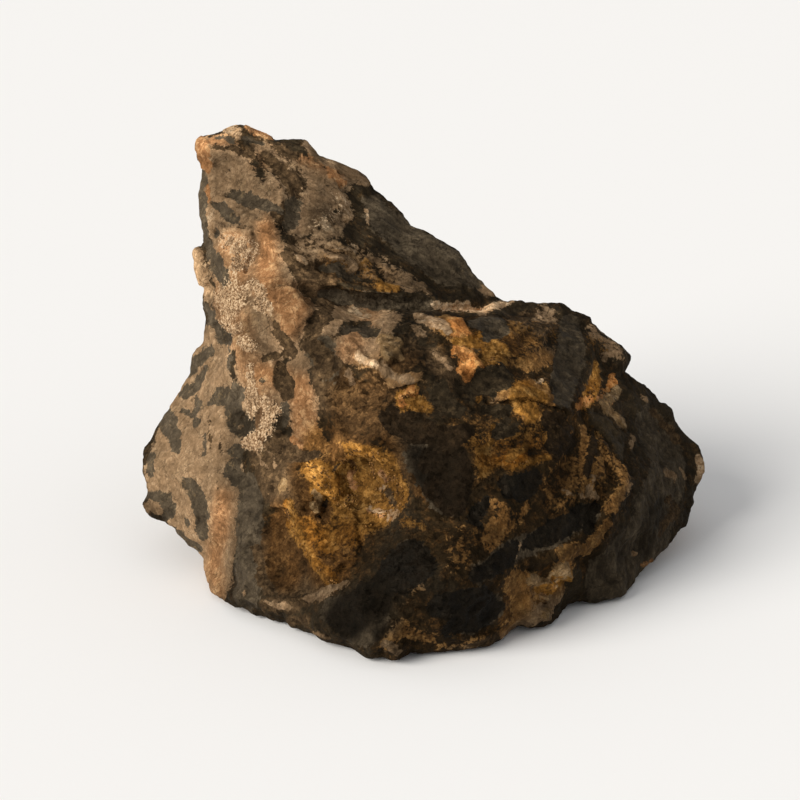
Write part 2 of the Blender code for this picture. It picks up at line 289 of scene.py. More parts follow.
    ("orange", "right triangle", ((613, 379, 4.5), (612, 387, 5), (606, 393, 5))),
    ("rose", "right triangle's foot", ((602, 398, 4), (610, 401, 5))),
    (
        "olive",
        "crystal, right",
        ((589, 415, 6), (600, 422, 9), (610, 433, 10), (617, 446, 8), (618, 457, 5)),
    ),
    ("olive", "right of the crystal", ((628, 408, 8), (640, 402, 7))),
    ("quartz", "right triangle's grey", ((618, 390, 5), (612, 396, 6), (605, 402, 6), (609, 410, 5))),
    ("quartz", "right triangle's grey, low", ((611, 411, 5), (616, 417, 5), (621, 421, 5), (625, 426, 3))),
    ("olive", "right rim, upper", ((638, 388, 7), (651, 399, 8), (668, 415, 9), (687, 438, 8))),
    ("bark", "crystal, thin", ((592, 430, 3), (592, 445, 4), (588, 460, 4), (586, 476, 4))),
    ("tan", "chips by the ridge", ((564, 491, 2.4), (573, 495, 2.4))),
    ("tan", "more chips by the ridge", ((590, 491, 3.4), (597, 496, 2.4), (583, 495, 2), (595, 476, 2))),
    ("tan", "right side's chip", ((634, 438, 3), (630, 447, 3.4))),
    ("tan", "right side's flecks", ((641, 398, 1.4), (646, 402, 1.4))),
    ("umber", "right side's mottle", ((652, 412, 5), (664, 424, 5), (676, 440, 6))),
    ("umber", "right side's rim", ((668, 500, 4), (676, 512, 5), (660, 532, 4))),
    ("ochre", "right side's speck", ((657, 434, 2),)),
    ("tan", "right side's pair", ((667, 472, 4), (673, 478, 3))),
    ("pale", "right side's pair, pale", ((680, 470, 2.6), (685, 477, 2))),
    ("pale", "right tip", ((699, 457, 4), (702, 466, 6), (700, 476, 5), (696, 480, 3))),
    ("olive", "right rim", ((690, 492, 6), (690, 506, 6), (686, 520, 4))),
    ("rose", "rim's chip", ((642, 566, 2.4), (650, 560, 2.4))),
    ("pale", "rim's speck", ((634, 552, 2),)),
    # Lower front
    ("black", "below the middle", ((392, 566, 12), (410, 556, 15), (426, 566, 12), (402, 582, 12))),
    (
        "bark",
        "middle right",
        ((430, 462, 12), (448, 460, 18), (462, 478, 12), (452, 502, 14), (436, 488, 12)),
    ),
    ("bark", "middle, upper", ((392, 420, 12), (415, 428, 14), (440, 440, 12), (470, 430, 8))),
    ("black", "oval, left", ((487, 500, 5), (478, 513, 7), (470, 519, 4), (479, 524, 4))),
    ("black", "oval, right", ((505, 484, 8), (520, 482, 9), (537, 477, 8), (520, 493, 9), (508, 493, 6))),
    ("black", "diagonal, lower", ((474, 577, 6), (490, 571, 9), (502, 560, 10), (516, 547, 8))),
    (
        "black",
        "diagonal",
        ((530, 543, 8), (550, 534, 10), (570, 522, 10), (588, 512, 9), (596, 504, 4), (588, 528, 6)),
    ),
    ("pale", "hairline", ((521, 541, 1), (519, 552, 1), (513, 565, 1))),
    (
        "black",
        "big lower",
        ((436, 606, 9), (456, 604, 14), (478, 602, 14), (496, 608, 8), (470, 622, 12), (446, 630, 6)),
    ),
    ("tan", "lower brown's chip", ((386, 645, 6), (396, 652, 5))),
    ("umber", "lower rim's chip", ((470, 646, 4), (484, 643, 4), (494, 637, 2.6))),
    (
        "quartz",
        "lump zone's quartz",
        ((530, 579, 6), (546, 585, 8), (561, 567, 8), (567, 574, 4), (543, 600, 4)),
    ),
    ("quartz", "lump zone's foot", ((545, 614, 4),)),
    (
        "ochre",
        "between the lumps",
        ((557, 574, 3.6), (550, 579, 3), (537, 590, 4), (551, 592, 4), (567, 576, 3)),
    ),
    ("brown", "gap between lumps", ((536, 573, 1.4), (549, 566, 1.6))),
    ("brown", "gap between lumps, lower", ((524, 587, 1.6), (531, 599, 1.6), (545, 605, 1.4))),
    ("olive", "right of the lumps", ((577, 572, 5), (574, 585, 8), (568, 602, 7), (557, 612, 5))),
    # Vug
    ("quartz", "left of the vug", ((285, 487, 6),)),
    ("brown", "above the vug's block", ((330, 450, 5), (339, 448, 6), (342, 457, 5), (333, 460, 4))),
    ("ochre", "vug's block", ((312, 469, 6), (321, 473, 9), (330, 482, 9), (332, 491, 7), (320, 489, 7))),
    ("umber", "vug's block, crack", ((328, 474, 1.2), (336, 467, 1.2), (344, 464, 1.6))),
    ("quartz", "vug's hole, crystals", ((313, 493, 3), (317, 499, 3.4), (313, 507, 3.4), (317, 512, 2))),
    ("ochre", "lit plate edge", ((292, 523, 2.4), (296, 530, 3.4), (301, 537, 3.4))),
    ("ochre", "lit plate edge, lower", ((303, 545, 3.4), (309, 553, 3), (314, 561, 2.4))),
    ("rose", "vug's crystals", ((368, 508, 3.4), (380, 514, 5), (392, 515, 4))),
    ("umber", "vug's grey", ((385, 493, 4), (389, 501, 3))),
    ("pale", "vug's glints", ((368, 506, 2), (375, 512, 2.4), (382, 508, 2), (386, 518, 2.6))),
    ("pale", "vug's glints, right", ((386, 507, 1.8), (391, 511, 2.4), (396, 509, 1.8), (394, 518, 2.2))),
    ("pale", "vug's upper glints", ((380, 480, 2.2), (385, 485, 2.4), (379, 490, 1.6))),
    ("rose", "vug's crystals, upper", ((384, 483, 4), (378, 476, 3))),
    ("rose", "vug's crystals, left", ((352, 487, 3), (350, 476, 2.4))),
    ("brown", "vug's shade", ((351, 465, 2.6), (355, 471, 2.8))),
    # Dark bark laid into the vug's two holes: painted shade
    ("bark", "vug's hole", ((324, 503, 2.2), (325, 508, 2))),
    ("bark", "vug's lower hole", ((320, 518, 2.2),)),
    ("umber", "bottom strip", ((264, 604, 4), (276, 606, 8), (288, 604, 9), (301, 602, 6), (312, 601, 5))),
    (
        "tan",
        "bottom strip's tail",
        ((306, 600, 4), (316, 597, 4.6), (327, 592, 4.6), (338, 587, 4), (347, 582, 3)),
    ),
    ("tan", "bottom strip's light", ((270, 604, 3), (278, 608, 4), (286, 607, 3))),
    ("tan", "bottom strip's light, right", ((296, 601, 2), (305, 600, 2.4))),
    ("umber", "under the strip", ((290, 622, 5), (304, 620, 6))),
    ("tan", "bottom edge", ((314, 634, 2.6), (326, 639, 2.4))),
)

# Broad shares of the ground between the patches, as soft strokes by field: how much of the ground
# the field takes up, and where. A later stroke covers an earlier one.
GROUND = {
    # Tan feldspar
    "tan": (
        (0.85, "tower", ((215, 150, 22), (226, 185, 34), (238, 220, 34), (235, 262, 34), (230, 318, 32))),
        (0.6, "tower, right of the plate", ((262, 150, 10), (280, 166, 12), (276, 195, 15))),
        (0.3, "tower's groove", ((262, 157, 4), (280, 172, 7), (294, 190, 8), (290, 224, 7))),
        (0.2, "under the plate", ((225, 225, 2), (252, 226, 2), (272, 229, 3), (288, 231, 3))),
        (0.7, "ridge", ((308, 165, 13), (326, 180, 17), (318, 205, 17), (302, 226, 12), (345, 178, 10))),
        (0.8, "ridge's edge", ((312, 150, 5), (345, 168, 6), (366, 181, 6))),
        (0.6, "ridge's grains", ((340, 196, 10), (344, 212, 9), (334, 230, 9), (318, 236, 8))),
        (1.0, "column", ((262, 228, 12), (268, 250, 17), (268, 285, 21), (290, 305, 24), (286, 330, 16))),
        (0.42, "streaks", ((300, 245, 10), (330, 255, 16), (370, 268, 18), (410, 285, 12))),
        (0.8, "slope's end", ((458, 263, 3), (476, 284, 5), (484, 291, 6), (492, 292, 4))),
        (
            1.0,
            "left face",
            ((212, 345, 22), (204, 390, 46), (192, 440, 50), (178, 480, 40), (195, 525, 38)),
        ),
        (1.0, "left face, right", ((226, 440, 14), (230, 500, 12), (230, 540, 10), (222, 580, 10))),
        (1.0, "beside the slab", ((246, 300, 11), (254, 308, 10), (260, 322, 9))),
        (
            1.0,
            "under the crust",
            ((236, 330, 16), (250, 340, 16), (250, 375, 14), (256, 410, 16), (254, 440, 10)),
        ),
        (1.0, "left face, foot", ((205, 550, 26), (214, 592, 12))),
        (0.85, "middle left", ((262, 350, 18), (268, 385, 18), (276, 400, 12), (300, 360, 12))),
        (
            1.0,
            "middle left band",
            ((298, 368, 7), (302, 385, 10), (303, 402, 13), (304, 430, 13), (320, 446, 9)),
        ),
        (
            0.95,
            "shoulder",
            ((328, 330, 7), (340, 314, 9), (366, 313, 9), (392, 320, 9), (350, 348, 15), (368, 352, 14)),
        ),
        (0.25, "below the shoulder", ((388, 380, 12), (415, 384, 10))),
        (0.95, "curved ridge", ((383, 371, 3), (393, 381, 4), (402, 380, 3), (412, 377, 3), (421, 376, 2))),
        (0.6, "cream rock", ((424, 320, 6), (442, 326, 9), (456, 335, 11), (470, 350, 13))),
        (0.95, "orange rock", ((447, 318, 5), (456, 325, 7), (465, 330, 5), (456, 338, 4), (477, 344, 4))),
        (0.4, "right shoulder", ((520, 325, 10), (548, 316, 13), (535, 350, 16))),
        (0.6, "right shoulder's rim", ((594, 332, 9), (608, 345, 9), (618, 356, 8))),
        (0.85, "beside the blob", ((525, 366, 7), (536, 362, 7), (547, 357, 8), (554, 353, 5))),
        (0.95, "crack", ((497, 397, 4), (512, 393, 7), (530, 387, 9), (543, 393, 8), (554, 401, 4))),
        (0.85, "below the crack", ((520, 408, 6), (531, 412, 7), (538, 415, 4), (526, 418, 4))),
        (0.7, "strips on the right", ((594, 366, 5), (596, 380, 8), (592, 394, 8), (584, 404, 6))),
        (0.7, "strip by the crystal", ((583, 428, 4), (584, 450, 5), (579, 463, 4))),
        (0.55, "right ridge", ((598, 436, 5), (602, 450, 6), (618, 470, 7), (624, 488, 8), (608, 510, 8))),
        (0.8, "right ridge's foot", ((606, 524, 4), (600, 534, 4), (584, 547, 6), (560, 553, 7))),
        (0.4, "inside the right ridge", ((570, 470, 17), (556, 486, 15), (602, 466, 13), (565, 500, 13))),
        (0.6, "long patch", ((495, 503, 6), (507, 516, 10), (490, 535, 9), (488, 550, 6), (530, 503, 5))),
        (0.4, "brown lens", ((460, 528, 5), (455, 548, 10), (468, 550, 9), (458, 564, 10), (448, 572, 4))),
        (0.95, "lumps", ((515, 582, 12), (528, 592, 17), (534, 612, 13), (552, 598, 12), (563, 567, 11))),
        (0.3, "thin band", ((402, 601, 7), (415, 593, 8), (430, 586, 7))),
        (0.55, "bottom chips", ((388, 645, 7), (404, 628, 8), (416, 636, 9), (430, 638, 7))),
        (0.35, "bottom rim", ((442, 646, 5), (470, 643, 7), (488, 638, 5))),
        (0.8, "bottom rim, right", ((500, 633, 6), (516, 624, 8), (526, 612, 8))),
    ),
    # Umber
    "umber": (
        (0.9, "tower", ((262, 150, 14), (285, 160, 16), (295, 205, 14), (240, 205, 26), (240, 225, 20))),
        (0.6, "ridge, lower", ((318, 215, 12), (338, 205, 14))),
        (0.95, "streaks", ((300, 250, 14), (340, 262, 16), (305, 285, 10))),
        (
            0.7,
            "upper middle",
            ((286, 350, 12), (325, 305, 12), (330, 395, 22), (365, 405, 20), (394, 392, 12)),
        ),
        (0.65, "middle", ((410, 350, 14), (345, 430, 24), (390, 430, 16), (430, 480, 20))),
        (0.8, "by the peach", ((436, 360, 12), (448, 376, 10))),
        (0.8, "beside the lumps", ((505, 615, 9), (514, 600, 8))),
        (1.0, "around the vug", ((256, 442, 14), (285, 455, 18), (278, 490, 18), (300, 505, 16))),
        (1.0, "in and below the vug", ((360, 490, 44), (280, 540, 22), (285, 580, 16), (330, 560, 24))),
        (0.75, "right shoulder", ((520, 320, 18), (548, 320, 14), (500, 350, 16))),
        (0.5, "inside the right ridge", ((570, 470, 16), (556, 486, 12), (604, 470, 10))),
    ),
    # Ochre
    "gold": (
        (0.85, "vug", ((345, 456, 14), (375, 468, 24), (384, 494, 28), (360, 512, 26))),
        (0.6, "below the vug", ((336, 535, 15), (350, 540, 14))),
        (0.35, "vug's foot", ((345, 560, 14), (330, 580, 10))),
        (0.6, "vug's shade", ((352, 467, 5), (358, 477, 7), (362, 490, 6), (361, 503, 4))),
        (1.0, "vug's left", ((311, 468, 9), (324, 478, 14), (336, 492, 12), (319, 489, 9))),
        (
            0.95,
            "lit plate edge",
            ((289, 504, 5), (292, 520, 6), (299, 540, 5), (315, 565, 5), (333, 583, 5)),
        ),
        (0.7, "plate", ((304, 522, 8), (314, 535, 10), (326, 548, 10))),
        (0.9, "flame", ((413, 388, 5), (404, 397, 8), (401, 406, 5), (418, 403, 7), (428, 408, 4))),
        (0.35, "right shoulder", ((475, 345, 20), (510, 345, 26), (536, 325, 20), (600, 345, 14))),
        (0.85, "granular", ((478, 342, 6), (488, 348, 8), (497, 353, 8), (490, 363, 8), (499, 366, 6))),
        (0.25, "between", ((470, 420, 24), (540, 425, 22), (590, 460, 22), (560, 500, 20))),
        (0.7, "crack", ((525, 392, 16), (530, 412, 9))),
        (0.75, "rusty patch", ((486, 450, 8), (482, 462, 8), (494, 460, 8), (482, 474, 5))),
        (
            0.9,
            "rusty patch, right",
            ((510, 455, 6), (520, 449, 8), (531, 444, 6), (512, 463, 8), (546, 457, 3)),
        ),
        (0.45, "around the rusty patch", ((500, 440, 14), (545, 436, 13), (470, 442, 10))),
        (0.3, "inside the right ridge", ((560, 482, 17), (600, 475, 15), (588, 495, 9))),
        (0.95, "strip", ((594, 366, 5), (596, 380, 7), (592, 394, 8), (584, 404, 6))),
        (0.4, "seam", ((337, 287, 3), (350, 290, 3), (368, 294, 3))),
        (0.9, "seam, right", ((364, 264, 3), (372, 274, 4), (382, 286, 5), (396, 289, 4))),
        (0.35, "streaks", ((330, 262, 12), (372, 275, 12))),
        (0.3, "lower patches", ((500, 515, 13), (462, 548, 12))),
        (0.35, "lumps", ((530, 596, 18),)),
        (0.5, "right of the vug", ((405, 522, 6), (424, 527, 4))),
    ),
    # Black tourmaline
    "black": (
        (0.7, "slope", ((374, 206, 12), (388, 224, 20), (412, 240, 24), (445, 265, 22), (474, 282, 9))),
        # The crevice filled with tourmaline: painted shade under the slope's lip
        (1.0, "crevice", ((322, 293, 4), (360, 300, 7), (400, 304, 7), (430, 307, 5))),
        (0.8, "band", ((248, 488, 10), (245, 540, 13), (248, 590, 14))),
        (1.0, "lower front", ((335, 612, 12), (360, 622, 22), (382, 585, 12), (410, 560, 16))),
        (1.0, "lower front, right", ((445, 606, 12), (465, 606, 16), (492, 606, 10), (470, 625, 8))),
        (0.7, "middle", ((430, 455, 24), (448, 500, 16))),
        (0.6, "middle, upper", ((320, 350, 16), (330, 370, 12))),
        (1.0, "blob", ((572, 324, 11), (572, 345, 13), (568, 366, 15), (563, 386, 13), (562, 402, 7))),
        (1.0, "right side", ((650, 420, 22), (668, 470, 28), (650, 530, 36), (612, 580, 28))),
        (0.9, "diagonal", ((480, 572, 8), (510, 552, 9), (550, 537, 10), (590, 515, 9))),
    ),
    # White crust
    "crust": (
        (0.7, "top", ((226, 240, 5), (238, 246, 9), (248, 251, 7), (240, 262, 7), (236, 270, 4))),
        (0.6, "middle", ((232, 284, 7), (222, 298, 9), (238, 300, 7), (228, 313, 9), (246, 287, 4))),
        (0.75, "right", ((252, 284, 4), (261, 291, 5), (258, 303, 5), (267, 309, 5))),
        (0.55, "lower", ((224, 324, 6), (236, 330, 5))),
        (0.75, "knot", ((244, 341, 4), (249, 346, 5))),
        (0.75, "thread", ((251, 366, 2), (252, 378, 3), (253, 390, 5), (252, 402, 6), (249, 415, 4))),
        (0.75, "right clump", ((266, 404, 6), (274, 411, 6), (268, 420, 6), (265, 431, 6))),
        (0.7, "left clump", ((253, 436, 5), (246, 444, 4), (259, 446, 4))),
        (0.12, "grains on the ridge", ((336, 192, 7), (346, 206, 7), (322, 222, 9), (312, 228, 5))),
    ),
    # How reddish the feldspar is
    "rosy": (
        (0.9, "column", ((266, 228, 10), (268, 255, 13), (266, 285, 14), (292, 305, 20), (290, 325, 12))),
        (0.6, "crust", ((232, 250, 20), (228, 300, 24), (252, 380, 9), (266, 412, 12), (256, 440, 10))),
        (0.9, "middle left", ((262, 372, 10), (300, 385, 12), (304, 425, 14), (320, 446, 8))),
        (0.8, "lower left", ((222, 498, 9), (220, 530, 11), (214, 570, 9), (218, 594, 6))),
        (0.8, "summit", ((205, 142, 8), (262, 132, 8), (315, 160, 12), (335, 170, 10))),
        (0.6, "shoulder", ((348, 350, 12), (370, 312, 8))),
        (0.9, "orange rock", ((455, 325, 10), (470, 345, 10))),
        (0.5, "right", ((612, 388, 8), (530, 385, 12))),
        (0.8, "rusty patch", ((486, 455, 12), (515, 452, 14), (540, 446, 9))),
        (0.6, "lower patches", ((492, 538, 10), (460, 548, 14), (560, 482, 16))),
        (0.5, "vug's foot", ((350, 545, 18), (335, 570, 12), (312, 530, 14))),
        (0.7, "left of the vug", ((276, 505, 14), (274, 545, 14), (292, 575, 14))),
    ),
    # Painted light and shade: how far the rock's colour is brightened or darkened, place by place
    "light": (
        (0.42, "tower", ((222, 160, 34), (235, 205, 34))),
        (0.6, "ridge", ((318, 180, 28), (340, 208, 14))),
        (0.0, "ridge, lower", ((318, 214, 12), (306, 226, 8))),
        (1.5, "tower's groove", ((266, 152, 12), (284, 168, 14), (294, 196, 12), (293, 226, 9))),
        (1.6, "tower's top", ((285, 145, 9), (300, 152, 10))),
        (2.0, "summit", ((205, 142, 8), (230, 132, 8), (262, 135, 9))),
        (1.1, "left edge", ((201, 172, 6), (203, 200, 7), (204, 232, 8), (214, 258, 7), (222, 280, 7))),
        (2.3, "left tab", ((199, 255, 7), (204, 275, 7), (209, 292, 6))),
        (1.1, "left brow", ((206, 305, 6), (215, 330, 8), (204, 358, 8), (190, 372, 7))),
        (0.85, "slope", ((374, 206, 14), (388, 225, 22), (412, 245, 26), (448, 268, 24))),
        (0.6, "streaks", ((296, 248, 14), (330, 256, 14), (300, 280, 12))),
        (0.4, "streaks, right", ((356, 264, 13), (372, 268, 12))),
        (1.2, "seam", ((380, 286, 6), (394, 288, 6))),
        (0.9, "left face", ((205, 385, 50), (180, 465, 50), (200, 560, 32))),
        (0.95, "left face, low", ((178, 475, 20), (222, 515, 11))),
        (0.65, "left foot", ((218, 550, 14), (214, 580, 12))),
        (0.75, "crust", ((238, 250, 28), (232, 305, 30))),
        (1.05, "column", ((262, 232, 9), (267, 250, 11), (268, 275, 12))),
        (0.55, "slab", ((290, 300, 18), (290, 325, 12))),
        (0.75, "middle left", ((262, 375, 16), (303, 400, 16), (308, 440, 12))),
        (1.0, "shoulder", ((350, 335, 18), (350, 315, 10), (380, 316, 10), (366, 355, 12))),
        (0.85, "nodule", ((390, 350, 10),)),
        (1.15, "middle", ((340, 390, 30), (375, 400, 22), (345, 425, 20))),
        (0.6, "middle, right", ((400, 380, 16), (395, 425, 16))),
        (1.2, "under the slab", ((275, 330, 9), (290, 350, 9))),
        (1.1, "cream rock", ((434, 325, 10),)),
        (1.45, "orange rock", ((456, 330, 10), (467, 362, 10))),
        (1.1, "by the peach", ((438, 352, 8), (446, 368, 9))),
        (0.55, "granular", ((484, 350, 9), (496, 358, 8))),
        (0.8, "right shoulder", ((490, 345, 14), (530, 330, 22), (550, 314, 14))),
        (1.2, "crack", ((500, 398, 10), (530, 390, 16), (545, 360, 10))),
        (2.5, "strip", ((595, 376, 10), (590, 398, 10))),
        (0.7, "right shoulder's rim", ((594, 332, 9), (608, 345, 9), (618, 356, 8))),
        (0.8, "right of the middle", ((545, 420, 16), (585, 440, 14), (470, 428, 14))),
        (0.45, "rusty patch", ((485, 458, 12),)),
        (0.5, "rusty patch, right", ((515, 452, 12), (535, 446, 9))),
        (0.16, "middle black", ((418, 452, 13), (424, 478, 12), (450, 465, 18), (452, 500, 14))),
        (0.65, "long patch", ((502, 512, 11),)),
        (0.0, "brown lens", ((492, 538, 9), (460, 548, 14))),
        (0.78, "lumps", ((530, 595, 17),)),
        (1.6, "lumps, right", ((560, 568, 9), (546, 585, 8))),
        (0.1, "lower front", ((345, 620, 20), (400, 570, 26), (440, 610, 24), (480, 608, 18))),
        (0.1, "bottom chips", ((388, 640, 14), (420, 632, 14))),
        (0.1, "thin band", ((404, 601, 8), (428, 588, 8))),
        (0.1, "right ridge's foot", ((604, 524, 8), (584, 547, 9), (560, 553, 8))),
        (1.6, "around the vug", ((276, 505, 16), (285, 455, 16))),
        (0.6, "below the vug's left", ((275, 550, 20), (300, 575, 16))),
        (0.6, "below the vug", ((340, 575, 14),)),
        (1.9, "vug's rim", ((345, 452, 16), (365, 460, 12))),
        (0.85, "vug", ((372, 478, 20), (390, 500, 18))),
        (1.7, "vug's druse", ((384, 512, 9),)),
        (2.3, "vug's left", ((312, 470, 9), (323, 480, 12), (335, 490, 9), (318, 489, 8))),
        (0.25, "vug's foot", ((352, 542, 14), (370, 548, 10))),
        (1.45, "plate", ((302, 525, 8), (316, 540, 9))),
        (0.8, "bottom strip", ((266, 604, 9), (290, 604, 11))),
        (0.22, "bottom strip's tail", ((318, 597, 8), (332, 590, 8), (345, 583, 7))),
        (1.5, "crevice", ((316, 292, 8), (345, 298, 8), (380, 303, 8), (428, 306, 8))),
        (1.6, "left face's groove", ((232, 350, 8), (236, 375, 8), (243, 400, 8))),
        (1.0, "above the vug's left", ((285, 455, 12), (262, 460, 8))),
        (0.65, "shoulder's block", ((480, 322, 10), (496, 327, 13))),
        (1.15, "crystals", ((592, 418, 8), (610, 434, 11), (618, 455, 8), (590, 455, 6))),
        (0.75, "band", ((250, 480, 14), (249, 540, 14), (247, 590, 14))),
        (0.5, "blob", ((572, 324, 12), (572, 345, 14), (568, 366, 15), (563, 390, 12))),
        (2.4, "white vein", ((434, 306, 6), (455, 308, 5), (480, 311, 5), (508, 305, 5))),
        (0.9, "right tip", ((700, 466, 8),)),
        (2.2, "below the crack", ((520, 411, 7), (531, 413, 8), (540, 414, 6))),
        (0.4, "right side, upper", ((655, 400, 12), (675, 430, 12))),
        (1.1, "right of the crystal", ((628, 408, 9), (640, 402, 8))),
        (2.0, "right triangle", ((614, 384, 8),)),
        (1.0, "right triangle's grey", ((614, 396, 7), (608, 404, 7), (614, 414, 6), (625, 425, 4))),
        (
            2.2,
            "beside the column",
            ((286, 256, 5), (294, 265, 6), (302, 276, 7), (308, 286, 7), (316, 291, 6)),
        ),
        (1.7, "beside the slab", ((326, 303, 7), (325, 318, 7), (318, 332, 6))),
        (1.0, "flame's foot", ((418, 404, 5), (427, 408, 4))),
        (0.38, "crust, middle", ((230, 296, 10), (226, 308, 9), (238, 302, 8))),
        (1.1, "shoulder's top edge", ((340, 313, 7), (352, 315, 7))),
        (1.7, "lit edge", ((358, 358, 4), (366, 363, 4), (377, 367, 3))),
        (1.3, "vug's hole", ((309, 497, 6), (315, 506, 6), (318, 516, 4))),
        (0.8, "tower's lenses", ((229, 193, 5), (255, 202, 8), (280, 210, 6))),
        (0.8, "tower's lower lens", ((216, 206, 6), (226, 213, 7), (235, 220, 4))),
        (1.7, "beside the ridge", ((358, 192, 7), (362, 215, 7), (366, 240, 7))),
        (2.2, "seam, left", ((334, 284, 6), (350, 288, 6), (366, 291, 5))),
        (3.2, "under the column", ((303, 277, 5), (308, 286, 6), (316, 291, 5))),
        (0.8, "beside the lumps", ((505, 615, 9), (514, 600, 8))),
        (0.75, "diagonal", ((510, 552, 9), (550, 537, 11), (590, 515, 10))),
        (0.1, "diagonal, lower", ((476, 576, 6), (490, 570, 8), (502, 560, 8))),
        (0.7, "oval, right", ((505, 486, 9), (520, 484, 10), (537, 478, 8))),
        (0.95, "middle, upper", ((400, 420, 10), (415, 428, 10), (440, 436, 9), (470, 430, 7))),
        (2.6, "crust, top", ((228, 240, 8), (242, 250, 9), (238, 266, 7))),
        (1.2, "crust, right", ((254, 286, 5), (261, 294, 6), (268, 309, 5))),
        (0.2, "right side, low", ((658, 505, 12), (650, 525, 14), (642, 550, 13))),
        (0.15, "right ridge, upper", ((598, 438, 4), (602, 450, 5))),
        (0.9, "right ridge's bend", ((616, 468, 6), (622, 480, 6))),
        (0.35, "slope, low", ((438, 264, 11), (455, 276, 11))),
        (1.1, "vug's shade", ((352, 467, 6), (358, 477, 7), (362, 490, 6), (361, 503, 4))),
        (0.9, "shoulder's top", ((503, 312, 5), (518, 307, 7), (531, 305, 5))),
        (1.2, "above the plate", ((214, 147, 4), (230, 148, 5), (246, 152, 5), (258, 158, 5))),
        (1.5, "right knob", ((330, 163, 5), (332, 176, 5), (342, 182, 5))),
        (0.75, "right of the flame", ((434, 389, 6), (444, 388, 7), (440, 402, 8), (456, 410, 8))),
        (2.0, "vug's crystals, left", ((352, 487, 4), (350, 476, 4))),
        (1.1, "slope's end", ((458, 263, 4), (476, 284, 5), (484, 291, 6), (492, 292, 4))),
        (
            0.85,
            "lit plate edge",
            ((292, 524, 4), (298, 534, 5), (304, 544, 5), (312, 557, 4), (322, 570, 3)),
        ),
    ),
    # How strongly iron has stained it brown
    "warm": (
        (1.0, "right", ((470, 330, 40), (540, 380, 56), (590, 450, 50), (560, 540, 56), (480, 480, 66))),
        (1.0, "lower right", ((440, 580, 60), (500, 600, 40), (400, 640, 26))),
        (1.0, "vug", ((350, 470, 56), (340, 550, 40), (285, 520, 20), (285, 570, 20))),
        (0.6, "middle", ((370, 400, 40), (410, 370, 20))),
        (0.4, "streaks", ((340, 262, 20), (385, 280, 12))),
        (0.0, "right side", ((650, 420, 16), (672, 470, 24), (650, 540, 30), (610, 590, 20))),
        (0.1, "lower front", ((345, 622, 18), (385, 620, 14), (410, 562, 12), (460, 606, 12))),
    ),
}
GROUND_FIELDS = (*GROUND, "drawn")
# How wide the soft strokes' edges are, and the painted light and shade of the rock where no stroke says it
SOFTNESS = 1.8
PLAIN_PAINTED_LIGHT = 0.35

